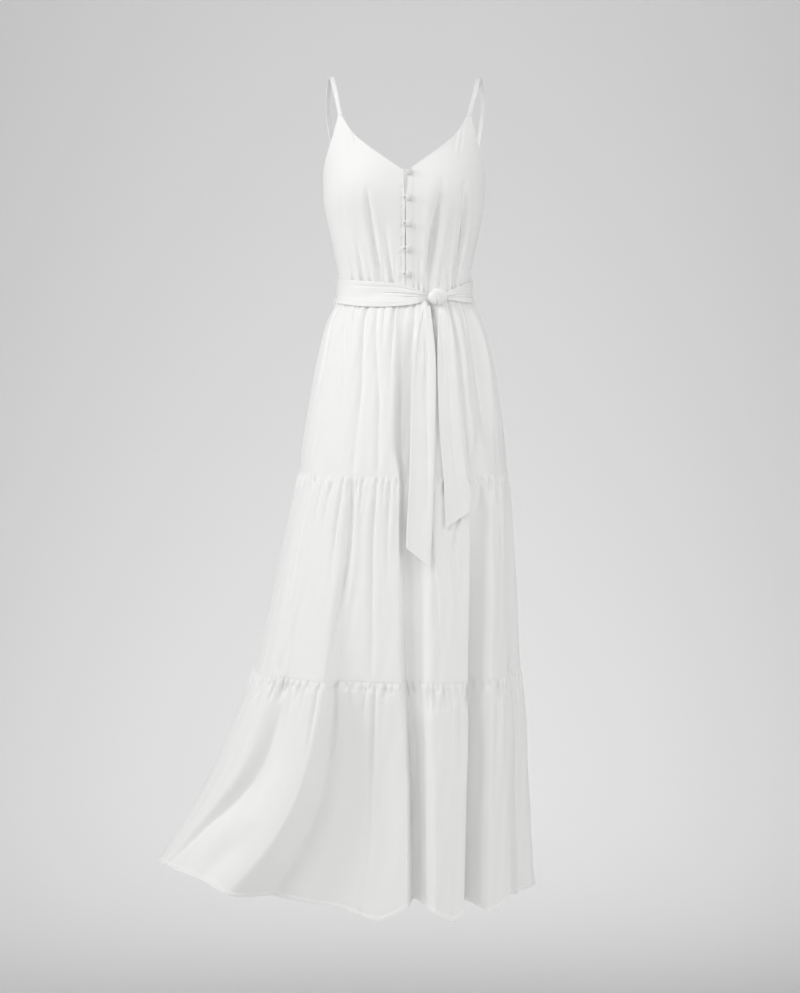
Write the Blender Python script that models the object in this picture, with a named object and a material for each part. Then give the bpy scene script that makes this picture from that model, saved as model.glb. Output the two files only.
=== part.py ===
"""White tiered maxi dress, hollow as it is worn, in metres with +Z up and its front towards -Y.

The origin lies between the crests of the two shoulder straps, which hold the dress up.
Angles go round the body from the front centre: +90 is the right side seam, 180 the back.
Every cloth piece is a thin wall whose outer side is worked out from rings, folds and gathers.
"""
from collections import namedtuple
import math

import bmesh
import bpy
from mathutils import Vector

# Driving sizes
CLOTH = 0.0016
BAND_CLOTH = 0.0018
SEAM_GAP = 0.0003
WAIST_Z = -0.366
SEAM_1_Z = -0.660
SEAM_2_Z = -0.997
HEM_Z = -1.360
SIDE_DEG = 90.0
SEAM_DEG = 0.08
ROUNDNESS = 0.05

# Upper edges of the bodice
V_BOTTOM_Z = -0.163
APEX_Z = -0.072
ARMHOLE_Z = -0.170
BACK_TOP_Z = -0.150

# Front closing
BUTTON_X = 0.0060
BUTTON_R = 0.0057
BUTTON_H = 0.0042
BUTTON_RIM = 0.0006
BUTTON_SIDES = 12
SHANK_R = 0.0018
SHANK_H = 0.0027
BUTTON_TOP_Z = -0.1656
BUTTON_STEP = 0.0412
BUTTON_COUNT = 5
LOOP_R = 0.0010
LOOP_HOLD = 0.0036
LOOP_SIDES = 5

# Straps, sash and knot
STRAP_WIDTH = 0.0076
STRAP_THICK = 0.0018
STRAP_SEAM_RISE = 0.0006
BAND_CLEAR = 0.0012
KNOT_X = 0.0507
KNOT_Z = -0.371
KNOT_HALF = (0.0165, 0.0090, 0.0135)
KNOT_CLEAR = 0.0014
KNOT_RIDGES = 5
KNOT_RIDGE_H = 0.0010
TAIL_CLEAR = 0.0007
TAIL_STEP = 0.030
THREAD_R = 0.0008
THREAD_REACH = 0.007

# Distance from the axis to the left, right, front and back at each height, over the ridges of the cloth
Ring = namedtuple("Ring", "z left right front back")
RINGS = (
    Ring(-0.060, 0.1500, 0.1460, 0.0900, 0.0950),
    Ring(-0.110, 0.1420, 0.1380, 0.1030, 0.0940),
    Ring(-0.170, 0.1360, 0.1325, 0.1080, 0.0920),
    Ring(-0.216, 0.1345, 0.1305, 0.1060, 0.0880),
    Ring(-0.250, 0.1285, 0.1260, 0.1000, 0.0845),
    Ring(-0.290, 0.1205, 0.1180, 0.0920, 0.0820),
    Ring(-0.331, 0.1125, 0.1105, 0.0855, 0.0800),
    Ring(-0.366, 0.1120, 0.1100, 0.0845, 0.0810),
    Ring(-0.380, 0.1170, 0.1150, 0.0890, 0.0860),
    Ring(-0.407, 0.1310, 0.1285, 0.1000, 0.0980),
    Ring(-0.458, 0.1453, 0.1445, 0.1140, 0.1120),
    Ring(-0.542, 0.1620, 0.1600, 0.1300, 0.1260),
    Ring(-0.627, 0.1758, 0.1700, 0.1420, 0.1370),
    Ring(-0.660, 0.1795, 0.1735, 0.1450, 0.1400),
    Ring(-0.745, 0.1990, 0.1820, 0.1520, 0.1480),
    Ring(-0.880, 0.2290, 0.1912, 0.1640, 0.1610),
    Ring(-0.965, 0.2490, 0.1950, 0.1710, 0.1680),
    Ring(-0.997, 0.2580, 0.1972, 0.1740, 0.1710),
    Ring(-1.100, 0.2975, 0.2082, 0.1810, 0.1790),
    Ring(-1.184, 0.3305, 0.2120, 0.1860, 0.1850),
    Ring(-1.250, 0.3610, 0.2165, 0.1890, 0.1890),
    Ring(-1.300, 0.3885, 0.2195, 0.1910, 0.1920),
    Ring(-1.360, 0.4250, 0.2235, 0.1930, 0.1950),
)

# How much higher or lower than HEM_Z the hem hangs at these angles
HemPoint = namedtuple("HemPoint", "angle lift")
HEM_POINTS = (
    HemPoint(-180, 0.004),
    HemPoint(-135, 0.014),
    HemPoint(-90, 0.023),
    HemPoint(-78, 0.032),
    HemPoint(-66, 0.031),
    HemPoint(-52, 0.026),
    HemPoint(-38, -0.000),
    HemPoint(-26, -0.018),
    HemPoint(-16, -0.024),
    HemPoint(-6, -0.038),
    HemPoint(2, -0.009),
    HemPoint(12, -0.014),
    HemPoint(20, -0.029),
    HemPoint(28, -0.011),
    HemPoint(40, -0.018),
    HemPoint(50, 0.007),
    HemPoint(65, -0.019),
    HemPoint(90, -0.018),
    HemPoint(135, -0.002),
    HemPoint(180, 0.004),
)

# Skirt folds: where each lies at both seams, halfway down tier 3 and at the hem, in degrees, its half
# width in degrees on the left and on the right of that line, how flat its floor is (1 for a floor that is
# only a line), and its depth halfway down each tier, at each seam and at the hem.
Fold = namedtuple("Fold", "at_1 at_2 at_mid at_hem left right flat_left flat_right d_mid1 d_1 d_mid2 d_2 d_mid3 d_hem")
FOLDS = (
    Fold(-165, -165, -165, -165, 10, 10, 1.3, 1.3, 0.003, 0.003, 0.014, 0.022, 0.038, 0.050),
    Fold(-138, -138, -136, -134, 9, 9, 1.3, 1.3, 0.004, 0.004, 0.018, 0.026, 0.045, 0.060),
    Fold(-112, -111, -110, -110, 8, 8, 1.3, 1.3, 0.002, 0.003, 0.014, 0.018, 0.030, 0.036),
    Fold(-47, -45.5, -47.5, -68, 9.5, 14, 1.15, 1.0, 0.003, 0.003, 0.008, 0.016, 0.034, 0.012),
    Fold(-25, -23.5, -24.0, -29.5, 7.0, 35, 1.3, 1.0, 0.003, 0.003, 0.010, 0.024, 0.066, 0.080),
    Fold(-0.8, 1.0, 4.0, 5, 3.0, 12, 1.3, 1.3, 0.014, 0.015, 0.028, 0.036, 0.044, 0.046),
    Fold(37, 31.3, 28.3, 25.5, 1.6, 12, 1.3, 1.3, 0.003, 0.006, 0.050, 0.053, 0.058, 0.062),
    Fold(71, 57.5, 54, 50, 1.8, 34, 2.4, 2.4, 0.001, 0.003, 0.034, 0.042, 0.052, 0.062),
    Fold(118, 118, 118, 118, 9, 9, 1.3, 1.3, 0.003, 0.004, 0.016, 0.024, 0.040, 0.054),
    Fold(146, 146, 147, 148, 9, 9, 1.3, 1.3, 0.004, 0.004, 0.017, 0.022, 0.042, 0.056),
    Fold(170, 170, 170, 170, 7, 7, 1.3, 1.3, 0.002, 0.003, 0.012, 0.016, 0.028, 0.036),
)
# Below seam 1 a fold takes this long to reach this share of its depth halfway down tier 2
FOLD_START = 0.034
FOLD_START_SHARE = 0.42
# How far a fold draws in sideways for each step it goes back
FOLD_SIDEWAYS = 0.45
# How much closer the columns lie in a fold, and beside a side narrower than SHARP_DEG
ROUND_CROWD = 0.5
SHARP_DEG = 5.0
SOFT_ABOVE = 1.2
SOFT_OVER = 0.050
SHARP_CROWD = 3.2

# Bodice folds that rise from the waist: angle at the waist and where each fades out, height and depth
Tuck = namedtuple("Tuck", "at_waist at_top top_z half depth")
TUCKS = (
    Tuck(-49, -48, -0.270, 3.5, 0.0035),
    Tuck(-38.5, -38, -0.262, 3.5, 0.0040),
    Tuck(-23, -25, -0.205, 3.5, 0.0060),
    Tuck(-12, -15.5, -0.235, 3.0, 0.0045),
    Tuck(12, 11, -0.255, 3.0, 0.0030),
    Tuck(21, 23.5, -0.200, 4.5, 0.0085),
    Tuck(38.5, 34, -0.235, 3.0, 0.0030),
    Tuck(47, 40, -0.205, 4.0, 0.0065),
    Tuck(122, 118, -0.290, 4.0, 0.0035),
    Tuck(146, 143, -0.280, 4.0, 0.0040),
    Tuck(170, 168, -0.285, 4.0, 0.0040),
    Tuck(194, 196, -0.280, 4.0, 0.0040),
    Tuck(217, 220, -0.290, 4.0, 0.0035),
    Tuck(240, 244, -0.280, 4.0, 0.0035),
)
BUST_X = 0.066
BUST_Z = -0.180
BUST_SPREAD = 0.052
BUST_RISE = 0.013

# Each tier: its seam, columns in the fine rows front and back, depth, reach and puff of its gathers
Tier = namedtuple("Tier", "name top bottom front_cols back_cols depth reach puff")
TIERS = (
    Tier("tier1", WAIST_Z, SEAM_1_Z, 40, 28, 0.0040, 0.085, 0.0),
    Tier("tier2", SEAM_1_Z, SEAM_2_Z, 72, 56, 0.0034, 0.046, 0.0026),
    Tier("tier3", SEAM_2_Z, HEM_Z, 88, 70, 0.0036, 0.050, 0.0028),
)
# A gather is weaker at the seam and strongest at this share of its reach
GATHER_AT_SEAM = 0.35
GATHER_PEAK = 0.2
# The puff is full PUFF_RISE below the seam, holds, and then fades by this share over its length
PUFF_RISE = 0.014
PUFF_HOLD = 0.030
PUFF_LENGTH = 0.090
PUFF_FADE = 0.6
# How far below its top seam each row of a tier lies: fine rows in metres, then shares of what is left
FINE_ROWS = (0.0, 0.20, 0.52)
COARSE_ROWS = (0.0, 0.16, 0.36, 0.58, 0.80, 1.0)

# Neckline and armhole of the left front: distance from the middle at each height.
# The right front is narrower and has these shares of it.
NECK_RIGHT_SHARE = 0.975
ARM_RIGHT_SHARE = 0.974
EdgePoint = namedtuple("EdgePoint", "z x")
NECKLINE = (
    EdgePoint(V_BOTTOM_Z, 0.0035),
    EdgePoint(-0.1590, 0.0088),
    EdgePoint(-0.1515, 0.0196),
    EdgePoint(-0.1360, 0.0410),
    EdgePoint(-0.1185, 0.0648),
    EdgePoint(-0.1045, 0.0815),
    EdgePoint(-0.0900, 0.0932),
    EdgePoint(APEX_Z, 0.1036),
)
ARMHOLE = (
    EdgePoint(ARMHOLE_Z, 0.1360),
    EdgePoint(-0.1500, 0.1335),
    EdgePoint(-0.1230, 0.1255),
    EdgePoint(-0.0940, 0.1165),
    EdgePoint(APEX_Z, 0.1110),
)
FRONT_ROWS = (
    WAIST_Z, -0.352, -0.334, -0.312, -0.290, -0.266, -0.242, -0.218, -0.196,
    -0.178, -0.1625, -0.148, -0.132, -0.115, -0.098, -0.082, APEX_Z,
)
FRONT_COLS = 15
BACK_ROWS = (0.0, 0.10, 0.22, 0.36, 0.52, 0.68, 0.84, 1.0)
BACK_COLS = 26

# Half the gap between the two front edges at each height: closed but for the keyhole
GapPoint = namedtuple("GapPoint", "z half")
FRONT_GAP = (
    GapPoint(WAIST_Z, 0.0004),
    GapPoint(-0.300, 0.0005),
    GapPoint(-0.275, 0.0010),
    GapPoint(-0.255, 0.0006),
    GapPoint(-0.230, 0.0010),
    GapPoint(-0.208, 0.0006),
    GapPoint(-0.198, 0.0016),
    GapPoint(-0.186, 0.0031),
    GapPoint(-0.172, 0.0031),
    GapPoint(-0.166, 0.0022),
    GapPoint(V_BOTTOM_Z, 0.0020),
)

# Sash: its upper and lower edge at each angle, narrowed where it runs into the knot
SashPoint = namedtuple("SashPoint", "angle top bottom")
SASH = (
    SashPoint(-180, -0.342, -0.380),
    SashPoint(-90, -0.3375, -0.3765),
    SashPoint(-60, -0.3385, -0.3800),
    SashPoint(-30, -0.3420, -0.3845),
    SashPoint(-6, -0.3465, -0.3835),
    SashPoint(8, -0.3540, -0.3800),
    SashPoint(19, -0.3625, -0.3735),
    SashPoint(34, -0.3605, -0.3735),
    SashPoint(50, -0.3500, -0.3765),
    SashPoint(70, -0.3425, -0.3785),
    SashPoint(90, -0.3400, -0.3775),
    SashPoint(180, -0.342, -0.380),
)
SASH_STRETCHES = (("sash_left", -90, 20.0, 14), ("sash_right", 32.8, 90, 8), ("sash_back", 90, 270, 20))
SASH_ROWS = 3

# Sash tails that hang from the knot: left and right edge at each height
TailRow = namedtuple("TailRow", "z left right")
TAIL_LEFT = (
    TailRow(-0.3832, 0.0294, 0.0410),
    TailRow(-0.398, 0.0245, 0.0425),
    TailRow(-0.420, 0.0190, 0.0447),
    TailRow(-0.455, 0.0148, 0.0480),
    TailRow(-0.510, 0.0098, 0.0492),
    TailRow(-0.580, 0.0080, 0.0478),
    TailRow(-0.660, 0.0063, 0.0459),
    TailRow(-0.730, 0.0025, 0.0427),
    TailRow(-0.776, 0.0005, 0.0402),
)
TAIL_RIGHT = (
    TailRow(-0.3803, 0.0619, 0.0680),
    TailRow(-0.400, 0.0552, 0.0735),
    TailRow(-0.430, 0.0525, 0.0778),
    TailRow(-0.470, 0.0516, 0.0812),
    TailRow(-0.530, 0.0526, 0.0862),
    TailRow(-0.600, 0.0560, 0.0922),
    TailRow(-0.660, 0.0612, 0.0990),
    TailRow(-0.690, 0.0625, 0.1045),
    TailRow(-0.719, 0.0645, 0.1030),
)
TAIL_ROWS = 14
TAIL_COLS = 4
TAIL_LEFT_SLANT = -0.033
TAIL_RIGHT_SLANT = 0.026

# A strap's line between its two seams, from the front over its crest to the back, outward x
STRAP_PATH = (
    Vector((0.1138, -0.0600, -0.0380)),
    Vector((0.1207, -0.0320, -0.0105)),
    Vector((0.1245, 0.0000, -0.0010)),
    Vector((0.1285, 0.0280, -0.0130)),
    Vector((0.1320, 0.0480, -0.0450)),
    Vector((0.1280, 0.0610, -0.0900)),
)
STRAP_BACK_DEG = 122.0
STRAP_STEPS = 26
BODY_CENTRE = Vector((0.0, 0.0, -0.130))
# How much of the sideways direction from the body's centre a strap's flat side turns to
STRAP_SIDEWAYS = 0.35

CLOTH_ROUGHNESS = 0.85
WHITE = (0.93, 0.93, 0.92)
SHELL_WHITE = (0.90, 0.90, 0.89)


def clear_scene():
    for thing in list(bpy.data.objects):
        bpy.data.objects.remove(thing, do_unlink=True)


def smooth_value(xs, ys, x):
    """Read a smooth curve through the points xs, ys, which rise along xs."""
    if x <= xs[0]:
        return ys[0]
    if x >= xs[-1]:
        return ys[-1]
    i = max(k for k in range(len(xs) - 1) if xs[k] <= x)
    span = xs[i + 1] - xs[i]
    step = (ys[i + 1] - ys[i]) / span
    before = (ys[i] - ys[i - 1]) / (xs[i] - xs[i - 1]) if i > 0 else step
    after = (ys[i + 2] - ys[i + 1]) / (xs[i + 2] - xs[i + 1]) if i + 2 < len(xs) else step
    slope_a = 0.5 * (before + step)
    slope_b = 0.5 * (after + step)
    t = (x - xs[i]) / span
    return (
        (2 * t**3 - 3 * t**2 + 1) * ys[i]
        + (t**3 - 2 * t**2 + t) * span * slope_a
        + (3 * t**2 - 2 * t**3) * ys[i + 1]
        + (t**3 - t**2) * span * slope_b
    )


def table_value(rows, key, column, x):
    """Read one named column of a table smoothly at x, with the key column rising or falling."""
    ordered = sorted(rows, key=lambda row: getattr(row, key))
    xs = [getattr(row, key) for row in ordered]
    ys = [getattr(row, column) for row in ordered]
    return smooth_value(xs, ys, x)


def wrap(angle):
    """Bring an angle into -180 to 180."""
    return (angle + 180.0) % 360.0 - 180.0


def ease(t):
    t = min(1.0, max(0.0, t))
    return t * t * (3 - 2 * t)


def hump(t):
    """A round bump that is 1 at t = 0 and fades to 0 at t = 1 and -1."""
    if abs(t) >= 1:
        return 0.0
    return 0.5 + 0.5 * math.cos(math.pi * t)


def ring_values(z):
    return [table_value(RINGS, "z", side, z) for side in ("left", "right", "front", "back")]


def ring_point(angle, z):
    """A point on the smooth form of the garment, before folds."""
    left, right, front, back = ring_values(z)
    a = math.radians(angle)
    swell = 1 + ROUNDNESS * math.sin(2 * a) ** 2
    wide = right if math.sin(a) > 0 else left
    deep = front if math.cos(a) > 0 else back
    return Vector((wide * math.sin(a) * swell, -deep * math.cos(a) * swell, z))


def angle_at(x, z):
    """The front angle at which the smooth form has this x."""
    low, high = -SIDE_DEG, SIDE_DEG
    for _ in range(30):
        middle = 0.5 * (low + high)
        if ring_point(middle, z).x < x:
            low = middle
        else:
            high = middle
    return 0.5 * (low + high)


def fold_angle(fold, z):
    middle = 0.5 * (SEAM_2_Z + HEM_Z)
    heights = (HEM_Z, middle, SEAM_2_Z, SEAM_1_Z)
    return smooth_value(heights, (fold.at_hem, fold.at_mid, fold.at_2, fold.at_1), z)


def fold_depth(fold, z):
    heights = (
        HEM_Z,
        0.5 * (SEAM_2_Z + HEM_Z),
        SEAM_2_Z,
        0.5 * (SEAM_1_Z + SEAM_2_Z),
        SEAM_1_Z - FOLD_START,
        SEAM_1_Z,
        0.5 * (WAIST_Z + SEAM_1_Z),
        WAIST_Z,
    )
    start = FOLD_START_SHARE * fold.d_mid2
    depths = (fold.d_hem, fold.d_mid3, fold.d_2, fold.d_mid2, start, fold.d_1, fold.d_mid1, 0.0)
    return max(0.0, smooth_value(heights, depths, z))


def fold_profile(fold, off, z):
    """Share of a fold's depth at off degrees from its line; its left side is softer in the top tier."""
    if off < 0:
        reach = fold.left * (1 + SOFT_ABOVE * ease((z - SEAM_1_Z) / SOFT_OVER))
        return ease(fold.flat_left * (1 + off / reach))
    return ease(fold.flat_right * (1 - off / fold.right))


def cloth_angle(material, z):
    """Where the cloth that hangs at this angle at seam 2 lies at height z."""
    marks = sorted([(f.at_2, fold_angle(f, z)) for f in FOLDS] + [(s, s) for s in (-180, -90, 90, 180)])
    for (m0, a0), (m1, a1) in zip(marks, marks[1:]):
        if m0 <= material <= m1:
            return a0 + (a1 - a0) * (material - m0) / (m1 - m0)
    return material


def skirt_form(material, z):
    """A point of the skirt's outer side with its large folds, before gathers."""
    material = wrap(material)
    angle = cloth_angle(material, z)
    point = ring_point(angle, z)
    a = math.radians(angle)
    inward = Vector((-FOLD_SIDEWAYS * math.sin(a), math.cos(a), 0))
    for fold in FOLDS:
        share = fold_profile(fold, wrap(material - fold.at_2), z)
        point += inward * fold_depth(fold, z) * share
    hang = ease((SEAM_2_Z - z) / (SEAM_2_Z - HEM_Z))
    lift = table_value(HEM_POINTS, "angle", "lift", angle)
    point.z += hang * lift
    return point


def bodice_form(angle, z):
    """A point of the bodice's outer side with its bust and the folds that rise from the waist."""
    point = ring_point(angle, z)
    a = math.radians(angle)
    out = Vector((math.sin(a), -math.cos(a), 0))
    if abs(wrap(angle)) < SIDE_DEG:
        for side in (-1, 1):
            across = (point.x - side * BUST_X) / BUST_SPREAD
            down = (z - BUST_Z) / BUST_SPREAD
            point += out * BUST_RISE * math.exp(-across**2 - down**2)
    for tuck in TUCKS:
        rise = (z - WAIST_Z) / (tuck.top_z - WAIST_Z)
        if rise < 1:
            line = tuck.at_waist + (tuck.at_top - tuck.at_waist) * rise
            t = wrap(angle - line) / (tuck.half * (1 + 0.8 * rise))
            point -= out * tuck.depth * hump(t) * (1 - rise**2) * (0.35 + 0.65 * ease(rise / 0.35))
    return point


def normal_of(form, angle, z):
    """The outward direction of a form, from four points round the one asked for."""
    turn, drop = 0.35, 0.002
    across = form(angle + turn, z) - form(angle - turn, z)
    down = form(angle, z - drop) - form(angle, z + drop)
    return down.cross(across).normalized()


def wall(name, rows, thickness, colour):
    """Make a closed wall from rows of (outer point, outward direction), top row first.

    A row may have as many columns as the one above it, or half as many.
    """
    bm = bmesh.new()
    outer = [[bm.verts.new(p) for p, _ in row] for row in rows]
    inner = [[bm.verts.new(p - n * thickness) for p, n in row] for row in rows]

    def skin(grid, turned):
        for upper, lower in zip(grid, grid[1:]):
            cells = len(lower) - 1
            halved = len(upper) - 1 == 2 * cells
            for j in range(cells):
                if halved:
                    u0, u1, u2 = upper[2 * j], upper[2 * j + 1], upper[2 * j + 2]
                    faces = [(u0, lower[j], u1), (u1, lower[j], lower[j + 1]), (u1, lower[j + 1], u2)]
                else:
                    faces = [(upper[j], lower[j], lower[j + 1]), (upper[j], lower[j + 1], upper[j + 1])]
                for face in faces:
                    bm.faces.new(face[::-1] if turned else face)

    skin(outer, False)
    skin(inner, True)
    rims = [
        (outer[0][::-1], inner[0][::-1]),
        (outer[-1], inner[-1]),
        ([row[0] for row in outer], [row[0] for row in inner]),
        ([row[-1] for row in outer][::-1], [row[-1] for row in inner][::-1]),
    ]
    for out_line, in_line in rims:
        for k in range(len(out_line) - 1):
            bm.faces.new((out_line[k], in_line[k], in_line[k + 1]))
            bm.faces.new((out_line[k], in_line[k + 1], out_line[k + 1]))
    return add_object(name, bm, colour, CLOTH_ROUGHNESS)


def add_object(name, bm, colour, roughness):
    bmesh.ops.recalc_face_normals(bm, faces=bm.faces)
    mesh = bpy.data.meshes.new(name)
    bm.to_mesh(mesh)
    bm.free()
    mesh.shade_smooth()
    mesh.set_sharp_from_angle(angle=math.radians(50))
    thing = bpy.data.objects.new(name, mesh)
    bpy.context.scene.collection.objects.link(thing)
    material = bpy.data.materials.new(name + "_cloth")
    material.use_nodes = True
    shader = material.node_tree.nodes["Principled BSDF"]
    shader.inputs["Base Color"].default_value = (*colour, 1)
    shader.inputs["Roughness"].default_value = roughness
    shader.inputs["Metallic"].default_value = 0.0
    mesh.materials.append(material)
    return thing


def column_angles(start, end, cells):
    """Angles from start to end, closer together where a fold turns sharply."""
    steps = 720
    weights = []
    for k in range(steps):
        angle = start + (end - start) * (k + 0.5) / steps
        weight = 1.0
        for fold in FOLDS:
            off = wrap(angle - fold.at_2)
            weight += ROUND_CROWD * hump(off / (0.5 * (fold.left + fold.right)))
            if fold.left < SHARP_DEG:
                weight += SHARP_CROWD * hump((off + 0.5 * fold.left) / SHARP_DEG)
        weights.append(weight)
    total = sum(weights)
    angles, reached, k = [start], 0.0, 0
    for cell in range(1, cells):
        while reached + weights[k] < total * cell / cells:
            reached += weights[k]
            k += 1
        share = (total * cell / cells - reached) / weights[k]
        angles.append(start + (end - start) * (k + share) / steps)
    return angles + [end]


def gather_share(tier, below):
    """How strong a tier's gathers are at this distance below its seam."""
    t = below / tier.reach
    if t >= 1:
        return 0.0
    if t < GATHER_PEAK:
        return GATHER_AT_SEAM + (1 - GATHER_AT_SEAM) * ease(t / GATHER_PEAK)
    return hump((t - GATHER_PEAK) / (1 - GATHER_PEAK))


def gather_jitter(index):
    """Makes the gathers uneven in depth."""
    return 0.75 + 0.25 * math.sin(index * 2.4 + math.sin(index * 1.7))


def puff_at(tier, below):
    """How far the cloth swells out below its gathered seam."""
    fade = PUFF_FADE * ease((below - PUFF_HOLD) / PUFF_LENGTH)
    return tier.puff * ease(below / PUFF_RISE) * (1 - fade)


def tier_panel(tier, part, start, end, cells):
    """One panel of a tier: fine rows with a gather for every two columns, then rows of half as many."""
    fine = column_angles(start, end, cells)
    coarse = fine[::2]
    lowest = tier.bottom if tier.name == "tier3" else tier.bottom + 0.5 * SEAM_GAP
    rest = tier.top - tier.bottom - tier.reach
    drops = [(tier.reach * share, fine) for share in FINE_ROWS]
    drops += [(tier.reach + rest * share, coarse) for share in COARSE_ROWS]
    rows = []
    for below, angles in drops:
        height = max(tier.top - max(below, 0.5 * SEAM_GAP), lowest)
        row = []
        for i, angle in enumerate(angles):
            point = skirt_form(angle, height)
            normal = normal_of(skirt_form, angle, height)
            shift = puff_at(tier, below)
            if angles is fine and i % 2 == 0:
                shift -= tier.depth * gather_share(tier, below) * gather_jitter(i)
            row.append((point + normal * shift, normal))
        rows.append(row)
    return wall(f"{tier.name}_{part}", rows, CLOTH, WHITE)


def make_skirt():
    for tier in TIERS:
        tier_panel(tier, "front", -SIDE_DEG + SEAM_DEG, SIDE_DEG - SEAM_DEG, tier.front_cols)
        tier_panel(tier, "back", SIDE_DEG + SEAM_DEG, 3 * SIDE_DEG - SEAM_DEG, tier.back_cols)


def front_edges(side, z):
    """Angles of a front's inner and outer edge at height z; side is -1 left and 1 right."""
    neck_share, arm_share = (1.0, 1.0) if side < 0 else (NECK_RIGHT_SHARE, ARM_RIGHT_SHARE)
    if z < V_BOTTOM_Z:
        inner_x = table_value(FRONT_GAP, "z", "half", z)
    else:
        inner_x = neck_share * table_value(NECKLINE, "z", "x", z)
    inner = angle_at(side * inner_x, z)
    if z < ARMHOLE_Z:
        return inner, side * (SIDE_DEG - SEAM_DEG)
    return inner, angle_at(side * arm_share * table_value(ARMHOLE, "z", "x", z), z)


def make_front(name, side):
    rows = []
    for z in reversed(FRONT_ROWS):
        height = max(z, WAIST_Z + 0.5 * SEAM_GAP)
        inner, outer = front_edges(side, height)
        start, end = (outer, inner) if side < 0 else (inner, outer)
        row = []
        for k in range(FRONT_COLS + 1):
            angle = start + (end - start) * k / FRONT_COLS
            row.append((bodice_form(angle, height), normal_of(bodice_form, angle, height)))
        rows.append(row)
    return wall(name, rows, CLOTH, WHITE)


def back_top(angle):
    """The back's upper edge dips from the straps to the side seams."""
    off = abs(abs(wrap(angle)) - 180)
    return BACK_TOP_Z - 0.003 * hump(off / 55) - (BACK_TOP_Z - ARMHOLE_Z) * ease((off - 58) / 32)


def make_back():
    rows = []
    for share in reversed(BACK_ROWS):
        row = []
        for k in range(BACK_COLS + 1):
            angle = SIDE_DEG + SEAM_DEG + (2 * SIDE_DEG - 2 * SEAM_DEG) * k / BACK_COLS
            low = WAIST_Z + 0.5 * SEAM_GAP
            z = low + (back_top(angle) - low) * share
            row.append((bodice_form(angle, z), normal_of(bodice_form, angle, z)))
        rows.append(row)
    return wall("bodice_back", rows, CLOTH, WHITE)


def over_waist(angle, z, lift):
    """A point that lies over the bodice and skirt by lift, with its outward direction."""
    normal = normal_of(ring_point, angle, z)
    return ring_point(angle, z) + normal * lift, normal


def make_sash():
    for name, start, end, cells in SASH_STRETCHES:
        start += SEAM_DEG
        end -= SEAM_DEG
        rows = []
        for r in range(SASH_ROWS + 1):
            row = []
            for k in range(cells + 1):
                angle = start + (end - start) * k / cells
                top = table_value(SASH, "angle", "top", wrap(angle))
                bottom = table_value(SASH, "angle", "bottom", wrap(angle))
                z = top + (bottom - top) * r / SASH_ROWS
                row.append(over_waist(angle, z, BAND_CLEAR + BAND_CLOTH))
            rows.append(row)
        wall(name, rows, BAND_CLOTH, SHELL_WHITE)


def make_tail(name, table, slant):
    """A sash tail over the skirt; its end slants down to the right if slant is negative, else to the left."""
    top, bottom = table[0].z, table[-1].z
    rows = []
    for r in range(TAIL_ROWS + 1):
        share = r / TAIL_ROWS
        row = []
        for k in range(TAIL_COLS + 1):
            across = k / TAIL_COLS
            z = top + (bottom - top) * share
            left = table_value(table, "z", "left", z)
            right = table_value(table, "z", "right", z)
            z += slant * (across if slant < 0 else across - 1) * share**6
            x = left + (right - left) * across
            angle = angle_at(x, z)
            step_out = TIERS[1].puff * ease((SEAM_1_Z + TAIL_STEP - z) / TAIL_STEP)
            lift = TAIL_CLEAR + CLOTH + step_out
            row.append(over_waist(angle, z, lift))
        rows.append(row)
    return wall(name, rows, CLOTH, SHELL_WHITE)


def make_knot():
    """A wrapped knot: a rounded lump with slanting ridges."""
    seat, normal = over_waist(angle_at(KNOT_X, KNOT_Z), KNOT_Z, KNOT_CLEAR + KNOT_HALF[1])
    bm = bmesh.new()
    bmesh.ops.create_uvsphere(bm, u_segments=20, v_segments=10, radius=1.0)
    turn = math.atan2(normal.x, -normal.y)
    for vert in bm.verts:
        p = vert.co.copy()
        wave = math.sin(KNOT_RIDGES * (p.x * 2.2 + p.z * 0.9))
        grow = 1 + wave * KNOT_RIDGE_H / KNOT_HALF[2]
        local = Vector((p.x * KNOT_HALF[0] * grow, p.y * KNOT_HALF[1], p.z * KNOT_HALF[2] * grow))
        x = local.x * math.cos(turn) - local.y * math.sin(turn)
        y = local.x * math.sin(turn) + local.y * math.cos(turn)
        vert.co = seat + Vector((x, y, local.z))
    return add_object("sash_knot", bm, SHELL_WHITE, CLOTH_ROUGHNESS)


def tube(name, points, radius, sides, closed, colour):
    """A round cord through the points, with flat ends unless it is closed."""
    bm = bmesh.new()
    count = len(points)
    loops = []
    for i, point in enumerate(points):
        if closed:
            along = points[(i + 1) % count] - points[i - 1]
        else:
            along = points[min(i + 1, count - 1)] - points[max(i - 1, 0)]
        along.normalize()
        side = along.cross(Vector((0, 1, 0))).normalized()
        up = side.cross(along)
        ring = []
        for k in range(sides):
            a = 2 * math.pi * k / sides
            ring.append(bm.verts.new(point + (side * math.cos(a) + up * math.sin(a)) * radius))
        loops.append(ring)
    for i in range(count if closed else count - 1):
        one, two = loops[i], loops[(i + 1) % count]
        for k in range(sides):
            m = (k + 1) % sides
            bm.faces.new((one[k], one[m], two[m], two[k]))
    if not closed:
        bm.faces.new(loops[0])
        bm.faces.new(loops[-1][::-1])
    return add_object(name, bm, colour, CLOTH_ROUGHNESS)


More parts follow.
